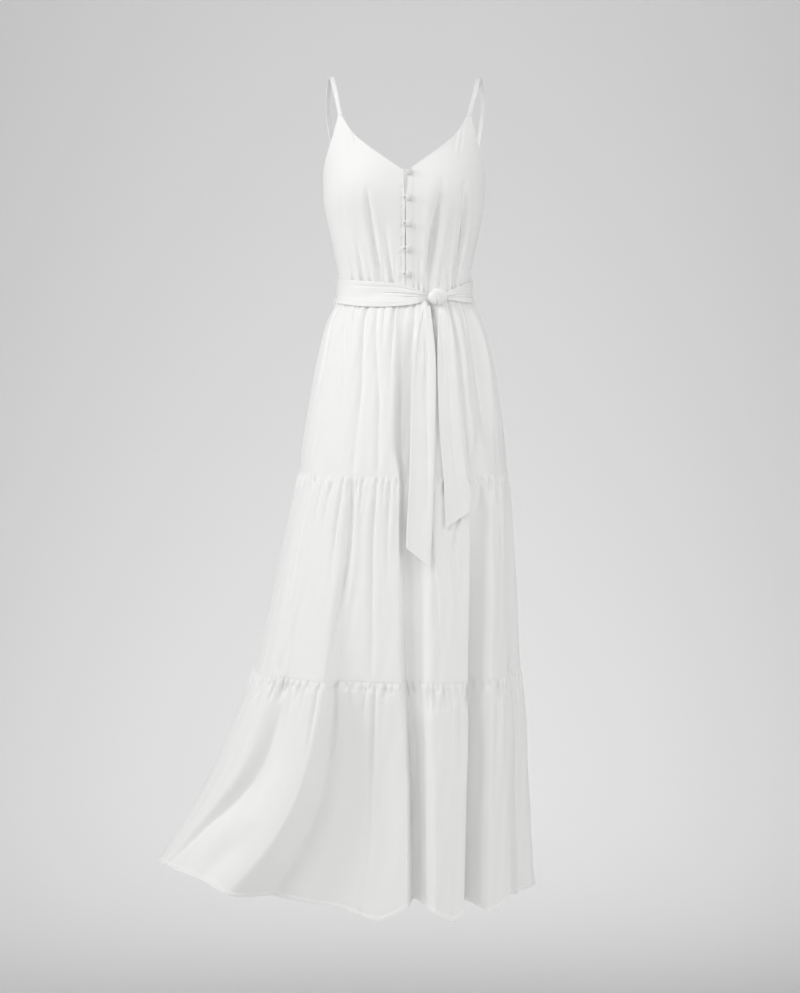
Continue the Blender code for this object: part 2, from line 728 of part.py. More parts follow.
def make_button(index):
    """A covered button on its shank, and the cord loop round the shank from the other edge."""
    z = BUTTON_TOP_Z - BUTTON_STEP * index
    angle = angle_at(BUTTON_X, z)
    seat = bodice_form(angle, z)
    out = normal_of(bodice_form, angle, z)
    across = Vector((out.y, -out.x, 0)).normalized() * -1
    up = out.cross(across) * -1
    profile = [(SHANK_R, SEAM_GAP), (SHANK_R, SHANK_H), (BUTTON_R * 0.94, SHANK_H)]
    for a in (0.0, 0.55, 1.05):
        dome = (BUTTON_H - BUTTON_RIM) * math.sin(a)
        profile.append((BUTTON_R * math.cos(a), SHANK_H + BUTTON_RIM + dome))
    bm = bmesh.new()
    rings = []
    for radius, height in profile:
        ring = []
        for k in range(BUTTON_SIDES):
            a = 2 * math.pi * k / BUTTON_SIDES
            spot = across * radius * math.cos(a) + up * radius * math.sin(a)
            ring.append(bm.verts.new(seat + spot + out * height))
        rings.append(ring)
    for low, high in zip(rings, rings[1:]):
        for k in range(BUTTON_SIDES):
            m = (k + 1) % BUTTON_SIDES
            bm.faces.new((low[k], low[m], high[m], high[k]))
    foot = bm.verts.new(seat + out * SEAM_GAP)
    crown = bm.verts.new(seat + out * (SHANK_H + BUTTON_H))
    for k in range(BUTTON_SIDES):
        m = (k + 1) % BUTTON_SIDES
        bm.faces.new((foot, rings[0][m], rings[0][k]))
        bm.faces.new((crown, rings[-1][k], rings[-1][m]))
    add_object(f"button_{index + 1}", bm, SHELL_WHITE, CLOTH_ROUGHNESS)
    outline = loop_outline(SHANK_R + LOOP_R + SEAM_GAP, BUTTON_X + LOOP_HOLD)
    lift = LOOP_R + 1.3 * SEAM_GAP
    points = [seat + across * u + up * v + out * lift for u, v in outline]
    tube(f"button_loop_{index + 1}", points, LOOP_R, LOOP_SIDES, True, WHITE)


def loop_outline(half, reach):
    """A long loop: round at the shank, with its two legs closing at reach on the left front."""
    outline = [(half * math.cos(a), half * math.sin(a)) for a in (-1.5, -0.75, 0.0, 0.75, 1.5)]
    legs = [(-0.5 * reach, half), (-0.86 * reach, 0.9 * half), (-reach, 0.35 * half)]
    outline += legs
    outline += [(u, -v) for u, v in reversed(legs)]
    return outline


def strap_ends(side):
    """Where a strap meets the front's apex and the back's upper edge, each with its outward direction."""
    inner, outer = front_edges(side, APEX_Z)
    front = 0.5 * (inner + outer)
    back = side * STRAP_BACK_DEG
    ends = []
    for angle, z in ((front, APEX_Z), (back, back_top(back))):
        ends.append((bodice_form(angle, z), normal_of(bodice_form, angle, z)))
    return ends


def make_strap(name, side):
    (front, front_out), (back, back_out) = strap_ends(side)
    path = [front] + [Vector((side * p.x, p.y, p.z)) for p in STRAP_PATH] + [back]
    marks = [k / (len(path) - 1) for k in range(len(path))]

    def line(share):
        return Vector([smooth_value(marks, [p[axis] for p in path], share) for axis in range(3)])

    bm = bmesh.new()
    rings = []
    for k in range(STRAP_STEPS + 1):
        share = k / STRAP_STEPS
        here = line(share)
        along = line(min(1, share + 0.01)) - line(max(0, share - 0.01))
        out = here - BODY_CENTRE
        out.x *= STRAP_SIDEWAYS
        out.normalize()
        out = out.lerp(front_out, 1 - ease(share * 5))
        out = out.lerp(back_out, ease(share * 5 - 4))
        across = along.cross(out).normalized()
        out = across.cross(along).normalized()
        across *= 0.5 * STRAP_WIDTH
        inner = here - out * STRAP_THICK
        corners = [here + across, here - across, inner - across, inner + across]
        if k in (0, STRAP_STEPS):
            for corner in corners:
                corner.z = here.z + STRAP_SEAM_RISE
        rings.append([bm.verts.new(p) for p in corners])
    for one, two in zip(rings, rings[1:]):
        for k in range(4):
            m = (k + 1) % 4
            bm.faces.new((one[k], one[m], two[m]))
            bm.faces.new((one[k], two[m], two[k]))
    bm.faces.new(rings[0])
    bm.faces.new(rings[-1][::-1])
    return add_object(name, bm, WHITE, CLOTH_ROUGHNESS)


def make_thread_loop(name, angle):
    """A thread belt loop at the side seam, from the bodice over the sash to the skirt."""
    top = table_value(SASH, "angle", "top", angle) + THREAD_REACH
    bottom = table_value(SASH, "angle", "bottom", angle) - THREAD_REACH
    foot = THREAD_REACH / (top - bottom)
    points = []
    for share in (0, 0.45 * foot, 0.9 * foot, 0.3, 0.5, 0.7, 1 - 0.9 * foot, 1 - 0.45 * foot, 1):
        bow = ease(min(share, 1 - share) / (0.9 * foot))
        lift = THREAD_R + SEAM_GAP + bow * (BAND_CLEAR + BAND_CLOTH + 0.0003)
        point, _ = over_waist(angle, top + (bottom - top) * share, lift)
        points.append(point)
    return tube(name, points, THREAD_R, 5, False, WHITE)


def make_dress():
    clear_scene()
    make_front("bodice_front_left", -1)
    make_front("bodice_front_right", 1)
    make_back()
    make_strap("strap_left", -1)
    make_strap("strap_right", 1)
    make_skirt()
    make_sash()
    make_knot()
    make_tail("sash_tail_left", TAIL_LEFT, TAIL_LEFT_SLANT)
    make_tail("sash_tail_right", TAIL_RIGHT, TAIL_RIGHT_SLANT)
    for index in range(BUTTON_COUNT):
        make_button(index)
    make_thread_loop("thread_loop_left", -84)
    make_thread_loop("thread_loop_right", 84)


make_dress()
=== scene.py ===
"""A white tiered maxi dress, worn hollow: every panel, the sash, straps, buttons and thread as fine cloth."""
import math
from collections import namedtuple

import bpy
import numpy as np
from mathutils import Matrix, Vector


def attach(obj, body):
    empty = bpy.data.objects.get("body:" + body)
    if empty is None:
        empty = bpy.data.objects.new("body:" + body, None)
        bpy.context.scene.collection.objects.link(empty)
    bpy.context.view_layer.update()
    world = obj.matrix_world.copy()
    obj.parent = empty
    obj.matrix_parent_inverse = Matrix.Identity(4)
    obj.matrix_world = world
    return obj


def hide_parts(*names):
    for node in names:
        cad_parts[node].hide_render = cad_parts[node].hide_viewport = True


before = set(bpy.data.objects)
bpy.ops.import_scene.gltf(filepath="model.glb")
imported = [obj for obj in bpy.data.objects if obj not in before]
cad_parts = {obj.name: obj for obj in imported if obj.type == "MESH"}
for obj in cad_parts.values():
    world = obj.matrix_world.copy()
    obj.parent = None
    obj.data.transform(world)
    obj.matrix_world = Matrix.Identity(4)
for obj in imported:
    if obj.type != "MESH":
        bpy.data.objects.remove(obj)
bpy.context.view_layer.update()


def table(columns, *rows):
    """A short table with named columns."""
    row = namedtuple("row", columns)
    return [row(*values) for values in rows]


# --- Sizes, in metres and degrees. Angles go round the body from the front centre, + to the right.

WALLS = {"dress_cloth": 0.0009, "sash_cloth": 0.0013}
WAIST_Z = -0.366
SEAM_1_Z = -0.660
SEAM_2_Z = -0.997
HEM_Z = -1.360
TIER_1_MIDDLE_Z = 0.5 * (WAIST_Z + SEAM_1_Z)
TIER_2_MIDDLE_Z = 0.5 * (SEAM_1_Z + SEAM_2_Z)
TIER_3_MIDDLE_Z = 0.5 * (SEAM_2_Z + HEM_Z)
SIDE_DEG = 90.0
ROUNDNESS = 0.05
V_BOTTOM_Z = -0.163
APEX_Z = -0.072
ARMHOLE_Z = -0.170
BACK_TOP_Z = -0.150
NECK_RIGHT_SHARE = 0.975
ARM_RIGHT_SHARE = 0.974
# Steps to either side of a point, between which the way out of the cloth there is read
NEAR_DEG = 0.35
NEAR_Z = 0.002

RINGS = table(
    "z left right front back",
    (-0.06, 0.15, 0.146, 0.09, 0.095),
    (-0.11, 0.142, 0.138, 0.103, 0.094),
    (-0.17, 0.136, 0.1325, 0.108, 0.092),
    (-0.216, 0.1345, 0.1305, 0.106, 0.088),
    (-0.25, 0.1285, 0.126, 0.1, 0.0845),
    (-0.29, 0.1205, 0.118, 0.092, 0.082),
    (-0.331, 0.1125, 0.1105, 0.0855, 0.08),
    (-0.366, 0.112, 0.11, 0.0845, 0.081),
    (-0.38, 0.117, 0.115, 0.089, 0.086),
    (-0.407, 0.131, 0.1285, 0.1, 0.098),
    (-0.458, 0.1453, 0.1445, 0.114, 0.112),
    (-0.542, 0.162, 0.16, 0.13, 0.126),
    (-0.627, 0.1758, 0.17, 0.142, 0.137),
    (-0.66, 0.1795, 0.1735, 0.145, 0.14),
    (-0.745, 0.199, 0.182, 0.152, 0.148),
    (-0.88, 0.229, 0.1912, 0.164, 0.161),
    (-0.965, 0.249, 0.195, 0.171, 0.168),
    (-0.997, 0.258, 0.1972, 0.174, 0.171),
    (-1.1, 0.2975, 0.2082, 0.181, 0.179),
    (-1.184, 0.3305, 0.212, 0.186, 0.185),
    (-1.25, 0.361, 0.2165, 0.189, 0.189),
    (-1.3, 0.3885, 0.2195, 0.191, 0.192),
    (-1.36, 0.425, 0.2235, 0.193, 0.195),
)

HEM_POINTS = table(
    "angle lift",
    (-180, 0.004), (-135, 0.014), (-90, 0.023), (-78, 0.032), (-66, 0.031), (-52, 0.026), (-38, 0),
    (-26, -0.018), (-16, -0.024), (-6, -0.038), (2, -0.009), (12, -0.014), (20, -0.029),
    (28, -0.011), (40, -0.018), (50, 0.007), (65, -0.019), (90, -0.018), (135, -0.002),
    (180, 0.004),
)

# Large skirt folds, named as in the solids: angles at both seams, halfway down tier 3 and at the hem, half
# width in degrees on the left and right, how flat the floor is, and depths going down
FOLDS = table(
    "at_1 at_2 at_mid at_hem left right flat_left flat_right d_mid1 d_1 d_mid2 d_2 d_mid3 d_hem",
    (-165, -165, -165, -165, 10, 10, 1.3, 1.3, 0.003, 0.003, 0.014, 0.022, 0.038, 0.05),
    (-138, -138, -136, -134, 9, 9, 1.3, 1.3, 0.004, 0.004, 0.018, 0.026, 0.045, 0.06),
    (-112, -111, -110, -110, 8, 8, 1.3, 1.3, 0.002, 0.003, 0.014, 0.018, 0.03, 0.036),
    (-47, -45.5, -47.5, -68, 9.5, 14, 1.15, 1, 0.003, 0.003, 0.008, 0.016, 0.034, 0.012),
    (-25, -23.5, -24, -29.5, 7, 35, 1.3, 1, 0.003, 0.003, 0.01, 0.024, 0.066, 0.08),
    (-0.8, 1, 4, 5, 3, 12, 1.3, 1.3, 0.014, 0.015, 0.028, 0.036, 0.044, 0.046),
    (37, 31.3, 28.3, 25.5, 1.6, 12, 1.3, 1.3, 0.003, 0.006, 0.05, 0.053, 0.058, 0.062),
    (71, 57.5, 54, 50, 1.8, 34, 2.4, 2.4, 0.001, 0.003, 0.034, 0.042, 0.052, 0.062),
    (118, 118, 118, 118, 9, 9, 1.3, 1.3, 0.003, 0.004, 0.016, 0.024, 0.04, 0.054),
    (146, 146, 147, 148, 9, 9, 1.3, 1.3, 0.004, 0.004, 0.017, 0.022, 0.042, 0.056),
    (170, 170, 170, 170, 7, 7, 1.3, 1.3, 0.002, 0.003, 0.012, 0.016, 0.028, 0.036),
)
FOLD_START = 0.034
FOLD_START_SHARE = 0.42
FOLD_SIDEWAYS = 0.45
SHARP_DEG = 5.0
SOFT_ABOVE = 1.2
SOFT_OVER = 0.050

TUCKS = table(
    "at_waist at_top top_z half depth",
    (-49, -48, -0.27, 3.5, 0.0035),
    (-38.5, -38, -0.262, 3.5, 0.004),
    (-23, -25, -0.205, 3.5, 0.006),
    (-12, -15.5, -0.235, 3, 0.0045),
    (12, 11, -0.255, 3, 0.003),
    (21, 23.5, -0.2, 4.5, 0.0085),
    (38.5, 34, -0.235, 3, 0.003),
    (47, 40, -0.205, 4, 0.0065),
    (122, 118, -0.29, 4, 0.0035),
    (146, 143, -0.28, 4, 0.004),
    (170, 168, -0.285, 4, 0.004),
    (194, 196, -0.28, 4, 0.004),
    (217, 220, -0.29, 4, 0.0035),
    (240, 244, -0.28, 4, 0.0035),
)
TUCK_WIDENS = 0.8
TUCK_AT_WAIST = 0.35
TUCK_FULL_RISE = 0.35
BUST_X = 0.066
BUST_Z = -0.180
BUST_SPREAD = 0.052
BUST_RISE = 0.013

# Tiers: seam heights, depth and reach of the gathers, the puff below the seam, gathers and mesh columns on
# each panel
TIERS = table(
    "name top bottom depth reach puff gathers_front gathers_back cells_front cells_back",
    ("tier1", WAIST_Z, SEAM_1_Z, 0.0026, 0.05, 0, 27, 22, 260, 170),
    ("tier2", SEAM_1_Z, SEAM_2_Z, 0.005, 0.036, 0.0018, 50, 42, 430, 260),
    ("tier3", SEAM_2_Z, HEM_Z, 0.0066, 0.04, 0.002, 60, 50, 490, 320),
)

# Creases of each panel: half width in degrees, then angle, share of the way down the panel and depth in mm at
# three places going down. On the bodice the way down is from the strap's foot to the waist.
CREASE = "half top_at top_share top_mm middle_at middle_share middle_mm low_at low_share low_mm"
CREASES = {
    "tier1_front": table(
        CREASE,
        (3, -48.8, 0.07, 1, -40.5, 0.36, 1.8, -37.2, 0.69, 0),
        (3.8, -31, 0.08, 3.5, -26.8, 0.49, 3, -28.2, 0.99, 2),
        (2.2, -41.2, 0.07, 2.2, -38, 0.16, 1.5, -36.8, 0.28, 0),
        (2.8, -22, 0.08, 1.5, -16, 0.55, 2, -14.8, 0.99, 1.5),
        (2.2, -16.5, 0.08, 2, -15.8, 0.16, 1.2, -15.2, 0.3, 0),
        (2.8, -8.8, 0.08, 4.5, -9, 0.24, 3.5, -9.5, 0.55, 0),
        (2.8, 6.8, 0.08, 4, 5.2, 0.22, 3, 3, 0.37, 0),
        (4.8, 22.8, 0.06, 14, 20.6, 0.22, 12, 18.6, 0.44, 0),
        (14, 56, 0.08, 6, 53.5, 0.38, 13, 52, 0.9, 0),
        (3.6, 35.8, 0.1, 6, 34.2, 0.45, 7.5, 34.6, 0.95, 3),
        (3, 48, 0.07, 2.5, 45.2, 0.17, 2, 44, 0.28, 0),
        (4.5, 59.5, 0.06, 2.5, 55.2, 0.16, 2, 54.5, 0.28, 0),
        (7, 54.2, 0.36, 0, 52.2, 0.59, 1.5, 40.8, 0.89, 1.5),
        (4, -68, 0.05, 2, -62, 0.3, 1.8, -60, 0.62, 0),
        (4.5, 74, 0.05, 2, 72, 0.3, 2, 70, 0.62, 0),
    ),
    "tier2_front": table(
        CREASE,
        (5, -53.8, 0.04, 3.5, -56, 0.37, 4, -52, 0.89, 2.5),
        (2.2, -46.2, 0.03, 2.5, -46.5, 0.12, 1.8, -46.8, 0.27, 0),
        (2.5, -38.2, 0.03, 2.5, -40.5, 0.12, 2.5, -40.2, 0.34, 0),
        (2.2, -32.8, 0.03, 3, -33.2, 0.21, 3.8, -32.8, 0.56, 0),
        (2.5, -27.8, 0.03, 4.5, -26, 0.26, 6, -28.5, 0.87, 2),
        (1.5, -22.5, 0.02, 2.5, -22.5, 0.09, 2.5, -22.5, 0.21, 0),
        (2.2, -15.2, 0.02, 3, -15.5, 0.31, 4, -13, 0.86, 1.2),
        (1.5, -11, 0.02, 1.8, -11.2, 0.09, 1.5, -11, 0.19, 0),
        (2, -8, 0.02, 3, -8.5, 0.21, 3, -8, 0.53, 0),
        (1.5, -4.8, 0.02, 1.5, -4.8, 0.09, 1.2, -4.8, 0.16, 0),
        (2, 12.8, 0.31, 1.5, 14.5, 0.55, 2.5, 16, 0.86, 1.5),
        (2, 29, 0.12, 2.5, 24.8, 0.36, 3, 26.5, 0.67, 0),
        (2.2, 44.2, 0.03, 2.5, 43.2, 0.12, 2, 41.8, 0.22, 0),
        (2.8, 50.8, 0.02, 2, 50, 0.09, 1.5, 49.8, 0.19, 0),
        (3, 57.8, 0.04, 2.5, 57.2, 0.2, 3.5, 55.5, 0.45, 0),
    ),
    "tier3_front": table(
        CREASE,
        (3, -60.8, 0.07, 2, -60.5, 0.12, 1.5, -59.5, 0.19, 0),
        (2.2, -43.5, 0.05, 1.5, -42.8, 0.15, 1.5, -42.2, 0.3, 0),
        (1.5, -37.2, 0.04, 2.5, -37, 0.11, 2, -36.8, 0.2, 0),
        (1.8, -31.8, 0.04, 3, -31.5, 0.15, 3.5, -30.8, 0.35, 0),
        (2.8, -26.2, 0.03, 4, -25, 0.17, 5, -26.8, 0.44, 0),
        (1.5, -20.5, 0.03, 2.5, -20.2, 0.09, 1.5, -20, 0.17, 0),
        (1.2, -14.5, 0.03, 2, -15, 0.1, 2, -15.2, 0.2, 0),
        (1.5, -11.2, 0.03, 3.5, -11, 0.25, 4.5, -10.2, 0.65, 1.5),
        (1, -6.8, 0.03, 1.5, -7, 0.07, 1.2, -7.2, 0.13, 0),
        (2, 19.8, 0.03, 1.8, 18.5, 0.1, 1.5, 17.8, 0.2, 0),
        (1.5, 14.8, 0.03, 1.5, 14.2, 0.08, 1, 13.5, 0.14, 0),
        (2, 25, 0.03, 3.5, 24.8, 0.14, 3.5, 24.8, 0.4, 0),
        (2.8, 20.8, 0.35, 0, 22.5, 0.59, 1.5, 20.8, 0.93, 1),
        (2.8, 47.8, 0.02, 3, 46.2, 0.12, 2.5, 42.2, 0.38, 0),
        (9, -43, 0.68, 0, -47.5, 0.86, 8, -50, 0.99, 6),
        (5, 71.8, 0.03, 3, 67.2, 0.31, 3, 62.2, 0.81, 0),
    ),
    "bodice_front_left": table(
        CREASE,
        (2, -35.5, 0.06, 0.8, -34, 0.12, 1.3, -32, 0.2, 0),
        (1.8, -37.8, 0.1, 0.5, -38, 0.15, 0.8, -38.2, 0.22, 0),
        (4, -43, 0.42, 0.8, -46, 0.52, 1.2, -48.5, 0.66, 0),
        (3, -48, 0.66, 0.4, -48.8, 0.8, 1.2, -49, 0.95, 2.2),
        (2.8, -38, 0.66, 0.5, -38.8, 0.8, 1.6, -38.5, 0.95, 2.8),
        (3.4, -24.6, 0.45, 2, -25.2, 0.69, 4.2, -21.6, 0.95, 2.4),
        (3, -15.2, 0.6, 0, -14.4, 0.78, 1.6, -11.2, 0.95, 3.5),
        (2.2, -31, 0.78, 0.5, -30.5, 0.86, 1.4, -30, 0.97, 2.2),
        (2.2, -19, 0.76, 0.4, -18, 0.85, 1.4, -17, 0.97, 2.2),
    ),
    "bodice_front_right": table(
        CREASE,
        (2, 36.5, 0.07, 0.5, 34.5, 0.14, 0.9, 32, 0.24, 0),
        (1.8, 40, 0.08, 0.4, 38.5, 0.16, 0.7, 36, 0.27, 0),
        (5.6, 23.6, 0.4, 2, 22.6, 0.66, 9, 20, 0.95, 2.5),
        (5, 41, 0.4, 2.5, 47.4, 0.69, 9, 45, 0.95, 2),
        (2.6, 34.8, 0.56, 0.5, 39, 0.8, 1.4, 38.5, 0.95, 2),
        (2.2, 12.5, 0.8, 0.5, 12.3, 0.88, 1.6, 12, 0.98, 2.4),
        (2, 17, 0.82, 0.5, 16.8, 0.9, 1.4, 16.2, 0.98, 2.2),
        (2, 30.6, 0.8, 0.5, 30.2, 0.9, 1.5, 29.5, 0.98, 2.2),
        (2.2, 56, 0.78, 0.6, 55.5, 0.88, 2, 54, 0.98, 2.6),
        (3, 73, 0.82, 0.4, 73.8, 0.9, 1.2, 73, 0.98, 1.8),
    ),
}
HIDDEN_CREASES = 11
CREASE_GAIN = 1.25
CREASE_RIDGE = 0.20
CREASE_STARTS = 0.07
CREASE_ENDS = 0.05

# Rows of a skirt panel: where it is gathered, and in the rest down to the turned hem
ROWS_GATHERED = 32
ROWS_PLAIN = 40
GATHERED_REACH = 1.6
GATHER_OPENS = 0.013
HEM_DEEP = 0.0055
HEM_STEP = 0.0012
HEM_SEWN_ROW = -6
# The puff rises just below the seam, then sinks in part
PUFF_RISE = 0.011
PUFF_HIGH = 0.030
PUFF_LONG = 0.090
PUFF_SINK = 0.6
DRAPE = 0.0006
# Gathers are held flat at the seam above, let go by this far below it, and are pulled flatter at the seam below
SEAM_HOLD = 0.16
SEAM_RELEASE = 0.0140
SEAM_PULL = 0.12
SEAM_PULL_REACH = 0.020
SEAM_TUCK = 0.0001
SEAM_TUCK_DEEP = 0.0016
SEAM_OVERLAP = 0.0015
# Millimetres of cloth to a degree on the skirt, the bodice's fronts and its back, for the edges drawn in
SKIRT_DEG_MM = 3.0
BODICE_DEG_MM = 2.269
BACK_DEG_MM = 2.1
EDGE_SOFT_MM = 2.5

NECKLINE = table(
    "z x",
    (V_BOTTOM_Z, 0.0035), (-0.159, 0.0088), (-0.1515, 0.0196), (-0.136, 0.041), (-0.1185, 0.0648),
    (-0.1045, 0.0815), (-0.09, 0.0932), (APEX_Z, 0.1036),
)
ARMHOLE = table(
    "z x",
    (ARMHOLE_Z, 0.136), (-0.15, 0.1335), (-0.123, 0.1255), (-0.094, 0.1165), (APEX_Z, 0.111),
)
FRONT_GAP = table(
    "z half",
    (WAIST_Z, 0.0004), (-0.3, 0.0005), (-0.275, 0.001), (-0.255, 0.0006), (-0.23, 0.001),
    (-0.208, 0.0006), (-0.198, 0.0016), (-0.186, 0.0031), (-0.172, 0.0031), (-0.166, 0.0022),
    (V_BOTTOM_Z, 0.002),
)
PLACKET_RIGHT = 0.0125
PLACKET_LEFT = 0.0090
PLACKET_RISE = 0.0005
WRINKLES = 30
WRINKLE_STEP = 0.0064
TURNING_RISE = 0.0003
TURNING_WIDE = 0.0045
TURNING_SOFT = 0.0012

BUTTON_X = 0.0060
BUTTON_R = 0.0057
BUTTON_H = 0.0042
SHANK_R = 0.0018
SHANK_H = 0.0027
BUTTON_TOP_Z = -0.1656
BUTTON_STEP = 0.0412
BUTTON_COUNT = 5
BUTTON_UNDER = 0.30
BUTTON_TILT = 0.0002
LOOP_R = 0.0010
LOOP_HOLD = 0.0036
LOOP_SLACK = 0.0003
LOOP_CLEAR = 0.0004

SASH = table(
    "angle top bottom",
    (-180, -0.342, -0.38), (-90, -0.3375, -0.3765), (-60, -0.3385, -0.38), (-30, -0.342, -0.3845),
    (-6, -0.3465, -0.3835), (8, -0.354, -0.38), (19, -0.3625, -0.3735), (34, -0.3605, -0.3735),
    (50, -0.35, -0.3765), (70, -0.3425, -0.3785), (90, -0.34, -0.3775), (180, -0.342, -0.38),
)
BAND_LIFT = 0.0030
BAND_EDGE = 0.0005
# Lengthwise folds of the sash: angle and share of its height at each end, half width as a share, depth
PLEATS = table(
    "stretch a_start a_end s_start s_end half depth",
    ("sash_left", -22, 20, 0.46, 0.34, 0.055, 0.003),
    ("sash_left", -8, 20, 0.6, 0.54, 0.055, 0.0026),
    ("sash_left", 2, 20, 0.76, 0.74, 0.055, 0.002),
    ("sash_left", -86, -20, 0.86, 0.88, 0.05, 0.0012),
    ("sash_left", -50, 8, 0.22, 0.16, 0.08, 0.001),
    ("sash_right", 33, 74, 0.5, 0.56, 0.06, 0.0026),
    ("sash_right", 33, 86, 0.66, 0.78, 0.06, 0.0022),
    ("sash_right", 33, 62, 0.3, 0.18, 0.06, 0.0018),
    ("sash_back", 110, 250, 0.35, 0.4, 0.07, 0.0012),
    ("sash_back", 150, 235, 0.72, 0.66, 0.07, 0.0012),
)

KNOT_X = 0.0507
KNOT_Z = -0.371
KNOT_HALF = (0.0165, 0.0090, 0.0135)
KNOT_CLEAR = 0.0014
KNOT_RIDGE = 0.22
KNOT_GROOVE = 0.14

TAIL_LEFT = table(
    "z left right",
    (-0.3832, 0.0294, 0.041), (-0.398, 0.0245, 0.0425), (-0.42, 0.019, 0.0447),
    (-0.455, 0.0148, 0.048), (-0.51, 0.0098, 0.0492), (-0.58, 0.008, 0.0478),
    (-0.66, 0.0063, 0.0459), (-0.73, 0.0025, 0.0427), (-0.776, 0.0005, 0.0402),
)
TAIL_RIGHT = table(
    "z left right",
    (-0.3803, 0.0619, 0.068), (-0.4, 0.0552, 0.0735), (-0.43, 0.0525, 0.0778),
    (-0.47, 0.0516, 0.0812), (-0.53, 0.0526, 0.0862), (-0.6, 0.056, 0.0922), (-0.66, 0.0612, 0.099),
    (-0.69, 0.0625, 0.1045), (-0.719, 0.0645, 0.103),
)
TAIL_LEFT_SLANT = -0.033
TAIL_RIGHT_SLANT = 0.026
TAIL_CLEAR = 0.0023
TAIL_STEP = 0.030
TAIL_LOOSE = 0.0010
TAIL_FADE = 0.25
# Lengthwise folds of the tails: share of the width at each end, half width as a share, depth, how far down
TAIL_FOLDS = table(
    "tail at_top at_end half depth until",
    ("sash_tail_left", 0.24, 0.14, 0.13, 0.0026, 0.4),
    ("sash_tail_left", 0.58, 0.5, 0.12, 0.0034, 0.5),
    ("sash_tail_left", 0.5, 0.86, 0.12, 0.0012, 0.95),
    ("sash_tail_right", 0.36, 0.3, 0.13, 0.0026, 0.5),
    ("sash_tail_right", 0.7, 0.8, 0.13, 0.0022, 0.4),
    ("sash_tail_right", 0.55, 0.55, 0.12, 0.0012, 0.95),
)

STRAP_WIDTH = 0.0076
STRAP_THICK = 0.0016
STRAP_SIDES = 16
STRAP_CROWN = 0.00018
STRAP_STITCH_IN = 0.0013
STRAP_STITCH_LIFT = 0.0002
STRAP_PATH = (
    (0.1138, -0.060, -0.0380),
    (0.1207, -0.032, -0.0105),
    (0.1245, 0.000, -0.0010),
    (0.1285, 0.028, -0.0130),
    (0.1320, 0.048, -0.0450),
    (0.1280, 0.061, -0.0900),
)
STRAP_BACK_DEG = 122.0
BODY_CENTRE = np.array((0.0, 0.0, -0.130))
STRAP_FACING = np.array((0.35, 1.0, 1.0))

THREAD_LOOP_DEG = 84
THREAD_LOOP_FOOT = 0.007
THREAD_TWISTS = 20
STRAND_R = 0.00042
STRAND_OFF = 0.00038

CORD_SMOOTH_DEG = 80
STITCH_LONG = 0.0022
STITCH_GAP = 0.0010
STITCH_R = 0.000308
STITCH_PROUD = 0.3
STITCH_LIFT = 0.0001
STITCH_IN = 0.0014
# A stitch's rings: share of its length, share of its thickness
STITCH_RINGS = ((0.0, 0.4), (0.25, 1.0), (0.75, 1.0), (1.0, 0.4))

# Each sheet: the size it was cut to, its area where the cut is no rectangle, how it is held and on what
SHEETS = table(
    "piece wide high area held on",
    ("bodice_front_left", 0.215, 0.296, 0.054, "gathered", "tier1_front"),
    ("bodice_front_right", 0.215, 0.296, 0.054, "gathered", "tier1_front"),
    ("bodice_back", 0.420, 0.218, 0.084, "gathered", "tier1_back"),
    ("tier1_front", 0.560, 0.305, None, "gathered", "sash_left"),
    ("tier1_back", 0.540, 0.305, None, "gathered", "sash_back"),
    ("tier2_front", 0.820, 0.345, None, "gathered", "tier1_front"),
    ("tier2_back", 0.740, 0.345, None, "gathered", "tier1_back"),
    ("tier3_front", 1.200, 0.375, None, "gathered", "tier2_front"),
    ("tier3_back", 1.020, 0.375, None, "gathered", "tier2_back"),
    ("sash_left", 0.215, 0.040, None, "stretched", "tier1_front"),
    ("sash_right", 0.090, 0.040, None, "stretched", "tier1_front"),
    ("sash_back", 0.340, 0.040, None, "stretched", "tier1_back"),
    ("sash_tail_left", 0.044, 0.415, None, "hung", "sash_knot"),
    ("sash_tail_right", 0.044, 0.345, None, "hung", "sash_knot"),
)

FLOOR_Z = -2.05
FLOOR_NEAR_Y = -7.0
FLOOR_HALF = 8.0
SWEEP_R = 2.9
WALL_Y = 4.4
WALL_TOP = 4.0
CAMERA = (-0.0088, -3.5, -0.407)
CAMERA_TILT = 4.87
LENS = 74.8
SKY_STRENGTH = 0.30
MIDDLE = (0, 0, -0.6)
LIGHTS = table(
    "name place aim size power",
    ("key_left_front", (-1.9, -2.3, 1.3), MIDDLE, (0.8, 0.8), 16.8),
    ("key_left_side", (-2.8, -0.7, 0.5), MIDDLE, (0.8, 0.8), 22),
    ("key_upper_left", (-1.9, -1.4, 0.9), (0, 0, -0.2), (1.0, 1.0), 8),
    ("top_front", (0.0, -1.7, 1.9), (0, 0, -0.4), (1.2, 1.0), 10.3),
    ("fill_front", (0.0, -4.6, 0.0), MIDDLE, (2.5, 2.0), 22),
    ("fill_right", (2.8, -2.2, 0.3), MIDDLE, (2.0, 2.4), 21.6),
    ("side_right", (3.2, -0.8, 0.2), MIDDLE, (1.8, 2.4), 14.0),
    ("wall_glow", (0.0, 1.65, -0.2), (0, WALL_Y, -0.64), (2.2, 2.0), 22),
)

# --- Curves and small numbers


